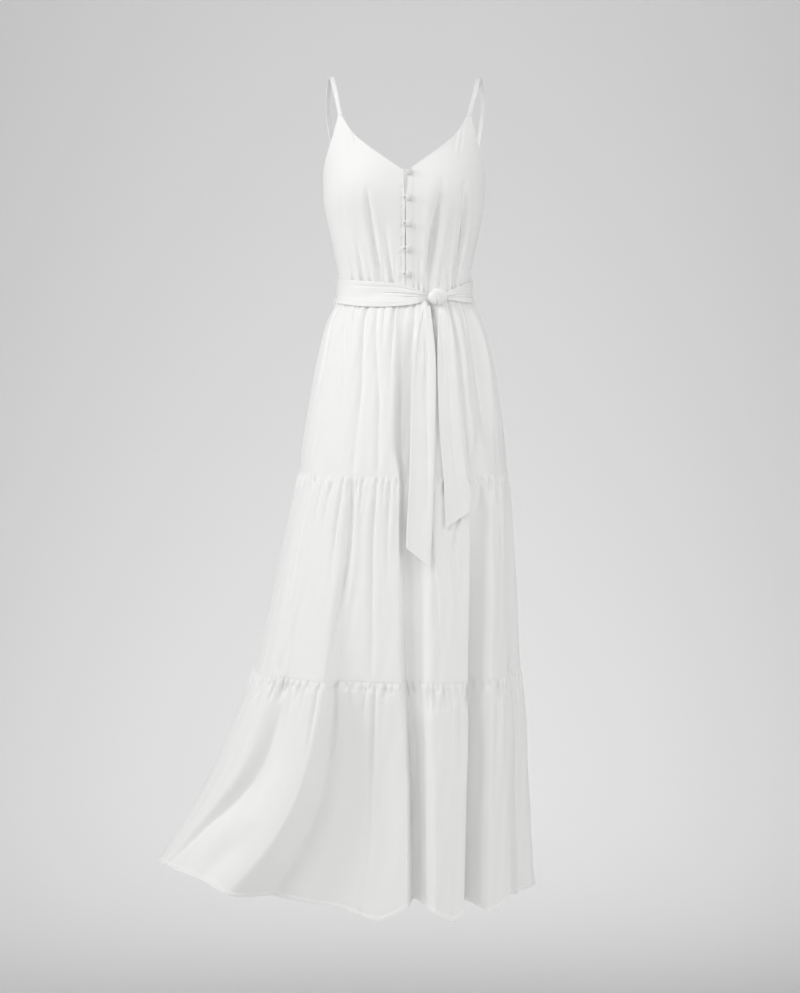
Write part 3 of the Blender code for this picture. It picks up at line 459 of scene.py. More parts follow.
def curve(xs, ys, x):
    """Read a smooth curve through the points xs, ys, which rise along xs, at every value of x."""
    xs, ys = np.asarray(xs, float), np.asarray(ys, float)
    x = np.clip(x, xs[0], xs[-1])
    i = np.clip(np.searchsorted(xs, x, side="right") - 1, 0, len(xs) - 2)
    step = np.diff(ys) / np.diff(xs)
    slope = np.concatenate(([step[0]], 0.5 * (step[1:] + step[:-1]), [step[-1]]))
    span = xs[i + 1] - xs[i]
    t = (x - xs[i]) / span
    return (
        (2 * t**3 - 3 * t**2 + 1) * ys[i]
        + (t**3 - 2 * t**2 + t) * span * slope[i]
        + (3 * t**2 - 2 * t**3) * ys[i + 1]
        + (t**3 - t**2) * span * slope[i + 1]
    )


def column(rows, name, x):
    """Read one named column of a table smoothly at x, a value of the table's first column."""
    ordered = sorted(rows)
    return curve([row[0] for row in ordered], [getattr(row, name) for row in ordered], x)


def wrap(angle):
    return (angle + 180.0) % 360.0 - 180.0


def ease(t):
    t = np.clip(t, 0.0, 1.0)
    return t * t * (3 - 2 * t)


def hump(t):
    return np.where(np.abs(t) < 1, 0.5 + 0.5 * np.cos(np.pi * np.clip(t, -1, 1)), 0.0)


def pinch(t):
    """A valley that is sharper at its bottom than a hump, as gathered cloth has."""
    return hump(t) ** 2.2


def unit(v):
    return v / np.maximum(np.linalg.norm(v, axis=-1, keepdims=True), 1e-12)


def add_up(steps):
    """Where each step starts, and where the last one ends."""
    return np.concatenate(([0], np.cumsum(steps)))


def run(path):
    """How far along a path each of its points lies."""
    return add_up(np.linalg.norm(np.diff(path, axis=0), axis=1))


def spread_out(count, start, end, rng, uneven=0.34):
    """Angles from start to end at uneven steps."""
    steps = 1 + uneven * (2 * rng.random(count + 1) - 1)
    reach = np.cumsum(steps)
    return start + (end - start) * reach[:-1] / reach[-1]


# --- The garment's form


def ring_point(angle, z):
    """Points of the smooth form, before folds."""
    angle, z = np.broadcast_arrays(np.asarray(angle, float), np.asarray(z, float))
    a = np.radians(angle)
    swell = 1 + ROUNDNESS * np.sin(2 * a) ** 2
    left, right, front, back = (column(RINGS, side, z) for side in ("left", "right", "front", "back"))
    wide = np.where(np.sin(a) > 0, right, left)
    deep = np.where(np.cos(a) > 0, front, back)
    return np.stack((wide * np.sin(a) * swell, -deep * np.cos(a) * swell, z), axis=-1)


def angle_at(x, z):
    """Front angles at which the smooth form has these x."""
    x, z = np.broadcast_arrays(np.asarray(x, float), np.asarray(z, float))
    low, high = np.full(x.shape, -SIDE_DEG), np.full(x.shape, SIDE_DEG)
    for _ in range(30):
        middle = 0.5 * (low + high)
        short = ring_point(middle, z)[..., 0] < x
        low, high = np.where(short, middle, low), np.where(short, high, middle)
    return 0.5 * (low + high)


def fold_angle(fold, z):
    """The angle that a fold runs at, at height z."""
    heights = (HEM_Z, TIER_3_MIDDLE_Z, SEAM_2_Z, SEAM_1_Z)
    return float(curve(heights, (fold.at_hem, fold.at_mid, fold.at_2, fold.at_1), z))


def fold_depth(fold, z):
    """How deep a fold is at height z."""
    tier_1 = (SEAM_1_Z - FOLD_START, SEAM_1_Z, TIER_1_MIDDLE_Z, WAIST_Z)
    heights = (HEM_Z, TIER_3_MIDDLE_Z, SEAM_2_Z, TIER_2_MIDDLE_Z) + tier_1
    start = FOLD_START_SHARE * fold.d_mid2
    depths = (fold.d_hem, fold.d_mid3, fold.d_2, fold.d_mid2, start, fold.d_1, fold.d_mid1, 0.0)
    return max(0.0, float(curve(heights, depths, z)))


def fold_profile(fold, off, z):
    """Share of a fold's depth at off degrees from its line; its left side is softer in the top tier."""
    left = fold.left * (1 + SOFT_ABOVE * ease((z - SEAM_1_Z) / SOFT_OVER))
    t = np.abs(off) / np.where(off < 0, left, fold.right)
    return ease(np.where(off < 0, fold.flat_left, fold.flat_right) * (1 - t))


def skirt_row(material, z):
    """One row of the skirt's outer side with its large folds, at nominal height z, and its angles."""
    material = wrap(material)
    marks = sorted([(f.at_2, fold_angle(f, z)) for f in FOLDS] + [(s, s) for s in (-180, -90, 90, 180)])
    angle = np.interp(material, [m for m, _ in marks], [a for _, a in marks])
    points = ring_point(angle, z)
    a = np.radians(angle)
    inward = np.stack((-FOLD_SIDEWAYS * np.sin(a), np.cos(a), np.zeros_like(a)), axis=-1)
    for fold in FOLDS:
        share = fold_profile(fold, wrap(material - fold.at_2), z)
        points += inward * (fold_depth(fold, z) * share)[..., None]
    hang = ease((SEAM_2_Z - z) / (SEAM_2_Z - HEM_Z))
    points[..., 2] += hang * column(HEM_POINTS, "lift", angle)
    return points, angle


def bodice_point(angle, z):
    """Points of the bodice's outer side with its bust and the folds that rise from the waist."""
    points = ring_point(angle, z)
    a = np.radians(angle)
    out = np.stack((np.sin(a), -np.cos(a), np.zeros_like(a)), axis=-1)
    front = np.abs(wrap(angle)) < SIDE_DEG
    rise_out = np.zeros_like(a)
    for side in (-1, 1):
        across = (points[..., 0] - side * BUST_X) / BUST_SPREAD
        down = (z - BUST_Z) / BUST_SPREAD
        rise_out += np.where(front, BUST_RISE * np.exp(-across**2 - down**2), 0)
    for tuck in TUCKS:
        rise = np.clip((z - WAIST_Z) / (tuck.top_z - WAIST_Z), 0, 1)
        line = tuck.at_waist + (tuck.at_top - tuck.at_waist) * rise
        t = wrap(angle - line) / (tuck.half * (1 + TUCK_WIDENS * rise))
        opens = TUCK_AT_WAIST + (1 - TUCK_AT_WAIST) * ease(rise / TUCK_FULL_RISE)
        rise_out -= tuck.depth * hump(t) * (1 - rise**2) * opens
    return points + out * rise_out[..., None]


def facing(form, angle, z):
    """Points of a form, and the directions out of it there."""
    across = form(angle + NEAR_DEG, z) - form(angle - NEAR_DEG, z)
    down = form(angle, z - NEAR_Z) - form(angle, z + NEAR_Z)
    return form(angle, z), unit(np.cross(down, across))


def over_waist(angle, z, lift):
    """Points that lie over the bodice and skirt by lift, with their outward directions."""
    angle, z, lift = np.broadcast_arrays(*(np.asarray(v, float) for v in (angle, z, lift)))
    points, normals = facing(ring_point, angle, z)
    return points + normals * lift[..., None], normals


def grid_normals(points):
    """Outward directions of a grid whose rows go down and whose columns go right, seen from outside."""
    return unit(np.cross(np.gradient(points, axis=0), np.gradient(points, axis=1)))


def drawn_in(off_mm, deep):
    """How far an edge is drawn in by its seam, off_mm of cloth away from it."""
    return deep * (1 - ease(off_mm / EDGE_SOFT_MM))


# --- Materials


def paint(code):
    """A linear colour from an sRGB hex code."""
    values = [int(code[i : i + 2], 16) / 255 for i in (0, 2, 4)]
    return [v / 12.92 if v <= 0.04045 else ((v + 0.055) / 1.055) ** 2.4 for v in values] + [1.0]


def node(tree, kind, settings=(), links=()):
    """Add a node, set its properties or input values, and link outputs of other nodes to its inputs."""
    made = tree.nodes.new(kind)
    for key, value in dict(settings).items():
        if isinstance(key, str) and hasattr(made, key):
            setattr(made, key, value)
        else:
            made.inputs[key].default_value = value
    for key, socket in dict(links).items():
        tree.links.new(socket, made.inputs[key])
    return made


def matt_finish(name, settings):
    """A material, its tree and its shader, with the shader's own values set."""
    material = bpy.data.materials.new(name)
    material.use_nodes = True
    shader = material.node_tree.nodes["Principled BSDF"]
    for key, value in settings.items():
        shader.inputs[key].default_value = value
    return material, material.node_tree, shader


def woven_cloth(name, light, dark, thread_mm, bump, roughness, crepe=1.0):
    """Plain-woven matt cloth: fine threads both ways, a pebbled crepe face and faint slubs."""
    dry = {"Sheen Weight": 0.12, "Sheen Roughness": 0.5, "Specular IOR Level": 0.25}
    material, tree, shader = matt_finish(name, dry)
    where = {"Vector": node(tree, "ShaderNodeUVMap", {"uv_map": "cloth"}).outputs["UV"]}
    threads = {"Scale": math.pi / (10 * thread_mm * 0.001), "Distortion": 0.6, "Detail": 1.0}
    warp, weft = (node(tree, "ShaderNodeTexWave", {"bands_direction": way, **threads}, where) for way in "XY")
    crossed = {0: warp.outputs["Fac"], 1: weft.outputs["Fac"]}
    weave = node(tree, "ShaderNodeMath", {"operation": "MULTIPLY"}, crossed)
    pebble = node(tree, "ShaderNodeTexNoise", {"Scale": 420.0, "Detail": 3.0, "Roughness": 0.6}, where)
    stretched = node(tree, "ShaderNodeMapping", {"Scale": (18.0, 320.0, 1.0)}, where).outputs["Vector"]
    slub = node(tree, "ShaderNodeTexNoise", {"Scale": 1.0, "Detail": 2.0}, {"Vector": stretched})
    height = weave.outputs["Value"]
    for part, amount in ((pebble, 0.9 * crepe), (slub, 0.5)):
        added = {"operation": "MULTIPLY_ADD", 1: amount}
        height = node(tree, "ShaderNodeMath", added, {0: part.outputs["Fac"], 2: height}).outputs["Value"]
    relief = node(tree, "ShaderNodeBump", {"Strength": bump, "Distance": 0.0004}, {"Height": height})
    cloud = node(tree, "ShaderNodeTexNoise", {"Scale": 22.0, "Detail": 3.0}, where)
    tone = node(tree, "ShaderNodeValToRGB", {}, {"Fac": cloud.outputs["Fac"]})
    for stop, place, code in zip(tone.color_ramp.elements, (0.3, 0.7), (dark, light)):
        stop.position = place
        stop.color = paint(code)
    dull = {"To Min": roughness - 0.05, "To Max": roughness + 0.05}
    rough = node(tree, "ShaderNodeMapRange", dull, {"Value": pebble.outputs["Fac"]})
    tree.links.new(tone.outputs["Color"], shader.inputs["Base Color"])
    tree.links.new(rough.outputs["Result"], shader.inputs["Roughness"])
    tree.links.new(relief.outputs["Normal"], shader.inputs["Normal"])
    return material


FINISHES = {
    # Viscose crepe: a dry, pebbled white face with next to no gloss; threads are drawn at 1.6 mm to show
    "dress_cloth": woven_cloth("viscose_crepe_woven", "FAFAF9", "F9F9F8", 1.6, 0.16, 0.86),
    # The same cloth doubled and pressed for the sash, a little smoother
    "sash_cloth": woven_cloth("viscose_crepe_pressed_double", "FAFAF9", "F8F8F7", 1.6, 0.12, 0.82, 0.7),
    # Cloth turned into a thin tube and pulled tight: the weave shows more, the pebble less
    "strap_cloth": woven_cloth("viscose_crepe_pulled_taut", "FAFAF9", "F4F4F3", 0.9, 0.16, 0.78, 0.5),
    # The same taut cloth over the buttons, painted greyer all over: painted shade for the domes' shaded sides
    "button_cloth": woven_cloth("viscose_crepe_over_button_painted_shade", "EDEDEC", "E0E0DF", 0.9, 0.16, 0.82, 0.5),
    # Spun polyester sewing thread, white with a slight lustre
    "thread": woven_cloth("polyester_sewing_thread", "FBFBFA", "F1F1F0", 0.5, 0.20, 0.60, 0.3),
}

# --- Meshes


def finish_piece(piece, slot, node_name):
    """Give a piece its finish, its body and the node that it stands for."""
    piece.data.materials.clear()
    piece.data.materials.append(FINISHES[slot])
    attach(piece, "root")
    if node_name:
        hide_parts(node_name)


def make_piece(name, verts, faces, slot, node_name=None, uvs=None, smooth_deg=60):
    mesh = bpy.data.meshes.new(name)
    mesh.from_pydata(np.asarray(verts).tolist(), [], [list(f) for f in faces])
    mesh.update()
    if uvs is not None:
        layer = mesh.uv_layers.new(name="cloth")
        index = np.empty(len(mesh.loops), int)
        mesh.loops.foreach_get("vertex_index", index)
        layer.data.foreach_set("uv", np.asarray(uvs, float)[index].ravel())
    mesh.shade_smooth()
    mesh.set_sharp_from_angle(angle=math.radians(smooth_deg))
    piece = bpy.data.objects.new(name, mesh)
    bpy.context.scene.collection.objects.link(piece)
    finish_piece(piece, slot, node_name)
    return piece


def cloth_wall(name, points, normals, slot="dress_cloth"):
    """A closed cloth wall from a grid of outer points, with a pattern map in metres of cloth."""
    rows, cols = points.shape[:2]
    low = rows * cols
    verts = np.concatenate((points.reshape(-1, 3), (points - normals * WALLS[slot]).reshape(-1, 3)))
    index = np.arange(low).reshape(rows, cols)
    a, b, c, d = index[:-1, :-1], index[1:, :-1], index[1:, 1:], index[:-1, 1:]
    outer_faces = np.stack((a, b, c, d), axis=-1).reshape(-1, 4)
    faces = [outer_faces, outer_faces[:, ::-1] + low]
    for line in (index[0, ::-1], index[-1], index[:, 0], index[::-1, -1]):
        one, two = line[:-1], line[1:]
        faces.append(np.stack((one, one + low, two + low, two), axis=-1))
    u = add_up(np.linalg.norm(np.diff(points, axis=1), axis=-1).mean(axis=0))
    v = -add_up(np.linalg.norm(np.diff(points, axis=0), axis=-1).mean(axis=1))
    grid = np.stack(np.meshgrid(u, v), axis=-1).reshape(-1, 2)
    make_piece(name + "_cloth", verts, np.concatenate(faces), slot, name, np.concatenate((grid, grid)))


def turn_outwards(piece):
    """Turn all faces of a closed piece outwards."""
    bpy.ops.object.select_all(action="DESELECT")
    piece.select_set(True)
    bpy.context.view_layer.objects.active = piece
    bpy.ops.object.mode_set(mode="EDIT")
    bpy.ops.mesh.select_all(action="SELECT")
    bpy.ops.mesh.normals_make_consistent(inside=False)
    bpy.ops.object.mode_set(mode="OBJECT")
    piece.select_set(False)


def join_rings(name, rings, closed, slot, node_name, uvs):
    """A solid through rings of points, closed on itself or with flat ends."""
    count, sides = rings.shape[:2]
    faces = []
    for i in range(count if closed else count - 1):
        j = (i + 1) % count
        for k in range(sides):
            m = (k + 1) % sides
            faces.append((i * sides + k, i * sides + m, j * sides + m, j * sides + k))
    if not closed:
        faces.append(range(sides))
        faces.append(range((count - 1) * sides, count * sides)[::-1])
    turn_outwards(make_piece(name, rings.reshape(-1, 3), faces, slot, node_name, uvs, CORD_SMOOTH_DEG))


def cord(name, points, radius, sides, closed, slot, node_name):
    """A round cord through the points."""
    if closed:
        along = unit(np.roll(points, -1, axis=0) - np.roll(points, 1, axis=0))
    else:
        along = unit(np.gradient(points, axis=0))
    side = unit(np.cross(along, np.array((0.0, 1.0, 0.0))))
    up = np.cross(side, along)
    turn = 2 * np.pi * np.arange(sides) / sides
    ring = side[:, None] * np.cos(turn)[None, :, None] + up[:, None] * np.sin(turn)[None, :, None]
    uvs = [(radius * t, r) for r in run(points) for t in turn]
    join_rings(name, points[:, None] + ring * radius, closed, slot, node_name, uvs)


def point_at(distance, reach, rows):
    return np.array([np.interp(distance, reach, rows[:, k]) for k in range(3)])


def sew(name, path, normals, lift=STITCH_LIFT):
    """A row of stitches just over a path on the cloth, each a small raised bead of thread."""
    path = path + normals * lift
    reach = run(path)
    verts, faces = [], []
    start = 0.5 * STITCH_GAP
    while start + STITCH_LONG < reach[-1]:
        first = point_at(start, reach, path)
        step = point_at(start + STITCH_LONG, reach, path) - first
        out = unit(point_at(start, reach, normals))
        side = np.cross(unit(step), out)
        base = len(verts)
        for share, size in STITCH_RINGS:
            centre = first + step * share
            for k in range(4):
                a = math.pi * (0.25 + 0.5 * k)
                spot = side * math.cos(a) + out * (math.sin(a) + STITCH_PROUD)
                verts.append(centre + spot * STITCH_R * size)
        for one in range(base, base + 12, 4):
            for k in range(4):
                m = (k + 1) % 4
                faces.append((one + k, one + m, one + 4 + m, one + 4 + k))
        faces.append((base + 3, base + 2, base + 1, base))
        faces.append((base + 12, base + 13, base + 14, base + 15))
        start += STITCH_LONG + STITCH_GAP
    make_piece(name, verts, faces, "thread")


def add_ball(name, segments, rings, angles=(0, 0, 0)):
    """A ball of radius 1 for a round piece to be shaped from."""
    bpy.ops.object.select_all(action="DESELECT")
    bpy.ops.mesh.primitive_uv_sphere_add(segments=segments, ring_count=rings, radius=1.0, rotation=angles)
    bpy.ops.object.transform_apply(location=False, rotation=True, scale=False)
    ball = bpy.context.active_object
    ball.name = name
    ball.data.uv_layers[0].name = "cloth"
    ball.data.shade_smooth()
    return ball


# --- Skirt tiers


def crease_field(angles, share, crease):
    """Depth of one crease over a grid of angles and shares of height, with the ridges beside it."""
    half, *places = crease
    at, marks, deep_mm = np.reshape(places, (3, 3)).T
    depth = 0.001 * CREASE_GAIN * np.maximum(curve(marks, deep_mm, share), 0)
    depth = depth * ease((share - marks[0]) / CREASE_STARTS + 1)
    if deep_mm[2] == 0:
        depth = depth * ease((marks[2] - share) / CREASE_ENDS)
    t = np.abs(wrap(angles - curve(marks, at, share))) / half
    return depth * (pinch(t) - CREASE_RIDGE * hump((t - 1.25) / 0.95))


def hidden_creases(start, end, rng):
    """Creases for a panel that is out of sight from the front, like those that show."""
    creases = []
    for place in spread_out(HIDDEN_CREASES, start, end, rng):
        low = place + 6 * (rng.random() - 0.5)
        until = 0.30 + 0.65 * rng.random() ** 1.3
        deep = 2.0 + 3.0 * rng.random()
        half = 1.8 + 1.8 * rng.random()
        creases.append((half, place, 0.03, 0.8 * deep, 0.5 * (place + low), 0.4 * until, deep, low, until, 0.0))
    return creases


def gather_field(tier, material, below, start, end, count, rng):
    """Depth of all the small gathers under a tier's seam, each with its own width, depth and length."""
    field = np.zeros((len(below), len(material)))
    pitch = (end - start) / count
    for place in spread_out(count, start, end, rng, 0.26):
        half = pitch * (0.36 + 0.16 * rng.random())
        depth = tier.depth * (0.50 + 0.75 * rng.random())
        long = tier.reach * (0.45 + 1.2 * rng.random() ** 2.0)
        lean = pitch * 0.6 * (rng.random() - 0.5)
        t = np.clip(below / long, 0, 1)
        fade = ease((1 - t) / 0.75)
        widen = 0.45 + 0.55 * ease(below / GATHER_OPENS) + 0.7 * t
        off = (material[None, :] - (place + lean * t)[:, None]) / (half * widen)[:, None]
        field += depth * fade[:, None] * pinch(off)
    return field


def tier_columns(start, end, cells):
    """Cloth angles across a panel, closer where folds turn."""
    fine = np.linspace(start, end, 4001)
    weight = np.ones_like(fine)
    for fold in FOLDS:
        off = wrap(fine - fold.at_2)
        weight += 0.4 * hump(off / (0.5 * (fold.left + fold.right)))
        if fold.left < SHARP_DEG:
            weight += 2.4 * hump((off + 0.5 * fold.left) / SHARP_DEG)
    reach = add_up(0.5 * (weight[1:] + weight[:-1]))
    return np.interp(np.linspace(0, reach[-1], cells + 1), reach, fine)


def tier_rows(tier):
    """How far below the seam each row of a panel lies: close where it is gathered and at the turned hem."""
    length = tier.top - tier.bottom
    near = GATHERED_REACH * tier.reach * np.linspace(0, 1, ROWS_GATHERED) ** 1.25
    far = np.linspace(near[-1], length - HEM_DEEP, ROWS_PLAIN)[1:]
    return np.concatenate((near, far, length - HEM_DEEP * np.array((0.90, 0.60, 0.30, 0.0))))


def make_tier(tier, part, start, end, cells, count):
    """One panel of a tier, with its folds, gathers and creases. Gives the row that a hem is sewn along."""
    number = TIERS.index(tier)
    last = tier is TIERS[-1]
    rng = np.random.default_rng(11 + 7 * number + (3 if part == "back" else 0))
    name = f"{tier.name}_{part}"
    material = tier_columns(start, end, cells)
    length = tier.top - tier.bottom
    below = tier_rows(tier)
    rows = [skirt_row(material, z) for z in tier.top - below]
    form = np.array([points for points, _ in rows])
    angles = np.array([angle for _, angle in rows])
    normals = grid_normals(form)
    share = (below / length)[:, None] * np.ones((1, len(material)))
    relief = gather_field(tier, material, below, start, end, count, rng)
    for crease in CREASES[name] if part == "front" else hidden_creases(start, end, rng):
        relief += crease_field(angles, share, crease)
    held = SEAM_HOLD + (1 - SEAM_HOLD) * ease(below / SEAM_RELEASE)
    if not last:
        held = held * (SEAM_PULL + (1 - SEAM_PULL) * ease((length - below) / SEAM_PULL_REACH))
    puff = tier.puff * ease(below / PUFF_RISE) * (1 - PUFF_SINK * ease((below - PUFF_HIGH) / PUFF_LONG))
    drape = DRAPE * np.sin(angles * 0.9 + 9 * share) * np.sin(7 * share + 0.13 * angles)
    shift = puff[:, None] + (drape - relief) * held[:, None]
    shift -= drawn_in(np.minimum(material - start, end - material) * SKIRT_DEG_MM, 0.0008)[None, :]
    if last:
        shift += np.where(length - below < 0.95 * HEM_DEEP, HEM_STEP, 0.0)[:, None]
    if number > 0:
        shift -= (SEAM_TUCK * (1 - ease(below / SEAM_TUCK_DEEP)))[:, None]
    points = form + normals * shift[..., None]
    if number > 0:
        points[0, :, 2] += SEAM_OVERLAP
    cloth_wall(name, points, grid_normals(points))
    return points[HEM_SEWN_ROW], normals[HEM_SEWN_ROW]


def make_skirt():
    for tier in TIERS:
        front = make_tier(tier, "front", -SIDE_DEG, SIDE_DEG, tier.cells_front, tier.gathers_front)
        back = make_tier(tier, "back", SIDE_DEG, 3 * SIDE_DEG, tier.cells_back, tier.gathers_back)
    sew("hem_stitches_front", *front)
    sew("hem_stitches_back", *back)


# --- Bodice


def front_edges(side, z):
    """Angles of a front's inner edge, at the opening or neck, and of its outer one, at the side or armhole."""
    neck_share, arm_share = (1.0, 1.0) if side < 0 else (NECK_RIGHT_SHARE, ARM_RIGHT_SHARE)
    gap, neck = column(FRONT_GAP, "half", z), neck_share * column(NECKLINE, "x", z)
    inner = angle_at(side * np.where(z < V_BOTTOM_Z, gap, neck), z)
    armhole = angle_at(side * arm_share * column(ARMHOLE, "x", z), z)
    return inner, np.where(z < ARMHOLE_Z, side * SIDE_DEG, armhole)


def waist_gathers(angle, z, rng, start, end, count):
    """Depth of the small gathers that rise from the waist seam."""
    relief = np.zeros_like(angle)
    for place in spread_out(count, start, end, rng, 0.5):
        tall = 0.022 + 0.050 * rng.random() ** 2
        half = 1.5 + 1.1 * rng.random()
        depth = 0.0010 + 0.0014 * rng.random()
        rise = np.clip((z - WAIST_Z - 0.012) / tall, 0, 1)
        off = wrap(angle - place * (1 - 0.05 * rise)) / (half * (1 + 0.6 * rise))
        relief += depth * pinch(off) * (1 - rise) ** 1.3
    return relief


def placket_wrinkles(off_middle, z, wide, depth, rng):
    """Depth of the short slanting wrinkles that the buttons pull into a front band."""
    relief = np.zeros_like(z)
    for k in range(WRINKLES):
        at = V_BOTTOM_Z - 0.012 - WRINKLE_STEP * k - 0.002 * rng.random()
        size = 0.0022 + 0.0012 * rng.random()
        reach = (0.62 + 0.25 * rng.random()) * wide
        slant = z - at + 0.7 * (off_middle - reach)
        spot = hump(slant / size) * hump((off_middle - reach) / (0.45 * wide))
        relief += depth * (0.5 + rng.random()) * spot
    return relief


def turned_edge(off):
    """How far the turned-in edge of the neck or back stands up, off from the edge."""
    return TURNING_RISE * (1 - ease((off - TURNING_WIDE) / TURNING_SOFT))


def make_front(name, side, wide):
    """One front of the bodice: side is -1 for the left one, and wide is how wide its front band is."""
    rng = np.random.default_rng(41 + side)
    z = np.concatenate((np.linspace(APEX_Z, V_BOTTOM_Z, 46), np.linspace(V_BOTTOM_Z - 0.0012, WAIST_Z, 84)))
    inner, outer = front_edges(side, z)
    start, end = (outer, inner) if side < 0 else (inner, outer)
    across = np.linspace(0, 1, 101)
    angle = start[:, None] + (end - start)[:, None] * across[None, :]
    heights = z[:, None] * np.ones((1, len(across)))
    form = bodice_point(angle, heights)
    normals = grid_normals(form)
    shift = -waist_gathers(angle, heights, rng, *((-88, -3) if side < 0 else (3, 88)), 20)
    down = (APEX_Z - heights) / (APEX_Z - WAIST_Z)
    for crease in CREASES[name]:
        shift -= crease_field(angle, down, crease)
    off_middle = np.abs(form[..., 0])
    below_v = ease((V_BOTTOM_Z + 0.006 - heights) / 0.010)
    shift += PLACKET_RISE * (1 - ease((off_middle - wide + 0.0008) / 0.0016)) * below_v
    shift -= placket_wrinkles(off_middle, heights, wide, 0.0020 if side < 0 else 0.0004, rng)
    if side > 0:
        beside = hump((off_middle - wide - 0.0012) / 0.0026)
        shift -= 0.0010 * beside * ease((-0.225 - heights) / 0.030)
    shift -= drawn_in(np.abs(angle - outer[:, None]) * BODICE_DEG_MM, 0.0007) * (heights < ARMHOLE_Z)
    steps = np.linalg.norm(np.diff(form, axis=1), axis=-1)
    along = np.concatenate((np.zeros((len(z), 1)), np.cumsum(steps, axis=1)), axis=1)
    off_neck = along if side > 0 else along[:, -1:] - along
    shift += turned_edge(off_neck) * (heights > V_BOTTOM_Z)
    points = form + normals * shift[..., None]
    cloth_wall(name, points, grid_normals(points))
    return points, normals


def back_top(angle):
    """The height of the top edge of the back."""
    off = np.abs(np.abs(wrap(angle)) - 180)
    return BACK_TOP_Z - 0.003 * hump(off / 55) - (BACK_TOP_Z - ARMHOLE_Z) * ease((off - 58) / 32)


def make_back():
    """The back of the bodice, gathered at the waist under a top edge that dips a little in the middle."""
    rng = np.random.default_rng(53)
    angle = np.linspace(SIDE_DEG, 3 * SIDE_DEG, 141)
    share = np.linspace(1, 0, 81)
    top = back_top(angle)
    heights = WAIST_Z + (top - WAIST_Z)[None, :] * share[:, None]
    angles = angle[None, :] * np.ones((len(share), 1))
    form = bodice_point(angles, heights)
    shift = -waist_gathers(angles, heights, rng, SIDE_DEG + 3, 3 * SIDE_DEG - 3, 34)
    for place in spread_out(5, SIDE_DEG + 10, 3 * SIDE_DEG - 10, rng):
        shift -= 0.0014 * hump(wrap(angles - place) / 7.0) * (1 - share[:, None]) ** 0.5
    shift += turned_edge(np.abs(heights - top[None, :]))
    shift -= drawn_in(np.minimum(angle - SIDE_DEG, 3 * SIDE_DEG - angle) * BACK_DEG_MM, 0.0007)[None, :]
    points = form + grid_normals(form) * shift[..., None]
    cloth_wall("bodice_back", points, grid_normals(points))


def make_bodice():
    sides = (("left", -1, PLACKET_LEFT), ("right", 1, PLACKET_RIGHT))
    fronts = [make_front(f"bodice_front_{word}", side, wide) for word, side, wide in sides]
    make_back()
    for (word, side, wide), (points, normals) in zip(sides, fronts):
        rows = np.arange(48, len(points) - 11)
        at = np.argmin(np.abs(np.abs(points[rows, :, 0]) - wide + STITCH_IN), axis=1)
        path = points[rows, at] + normals[rows, at] * STITCH_LIFT
        path[:, 0] = side * (wide - STITCH_IN)
        sew(f"placket_stitches_{word}", path, normals[rows, at], 0)


# --- Straps, buttons, loops


def make_strap(name, side):
    """A flat strap from the front's apex over the shoulder to the back, stitched along both edges."""
    inner, outer = front_edges(side, np.array((APEX_Z, V_BOTTOM_Z)))
    back_deg = side * STRAP_BACK_DEG
    front, front_out = facing(bodice_point, 0.5 * (inner[0] + outer[0]), APEX_Z)
    back, back_out = facing(bodice_point, back_deg, float(back_top(back_deg)))
    path = np.array([front] + [(side * x, y, h) for x, y, h in STRAP_PATH] + [back])
    marks = np.linspace(0, 1, len(path))
    share = np.linspace(0, 1, 121)
    line = np.stack([curve(marks, path[:, k], share) for k in range(3)], axis=-1)
    along = unit(np.gradient(line, axis=0))
    out = unit((line - BODY_CENTRE) * STRAP_FACING)
    out = out + (front_out - out) * (1 - ease(share * 5))[:, None]
    out = out + (back_out - out) * ease(share * 5 - 4)[:, None]
    across = unit(np.cross(along, out))
    out = unit(np.cross(across, along))
    half = 0.5 * STRAP_WIDTH
    a = 2 * math.pi * np.arange(STRAP_SIDES) / STRAP_SIDES
    wide = half * np.copysign(np.abs(np.cos(a)) ** 0.35, np.cos(a))
    deep = 0.5 * STRAP_THICK * (np.copysign(np.abs(np.sin(a)) ** 0.7, np.sin(a)) - 1)
    deep = deep + STRAP_CROWN * hump(wide / half)
    rings = line[:, None] + across[:, None] * wide[None, :, None] + out[:, None] * deep[None, :, None]
    uvs = [(w, r) for r in run(line) for w in wide]
    join_rings(name + "_cloth", rings, False, "strap_cloth", name, uvs)
    for word, edge in (("in", -1), ("out", 1)):
        row = line + across * edge * (half - STRAP_STITCH_IN)
        sew(f"{name}_stitches_{word}", row[2:-2], out[2:-2], STRAP_STITCH_LIFT)


def button_seat(index):
    """Where a button sits: its place, and the directions out of the cloth, across and up."""
    z = BUTTON_TOP_Z - BUTTON_STEP * index
    here, out = facing(bodice_point, angle_at(BUTTON_X, z), z)
    across = unit(np.array((-out[1], out[0], 0.0)))
    return here, out, across, np.cross(out, across)


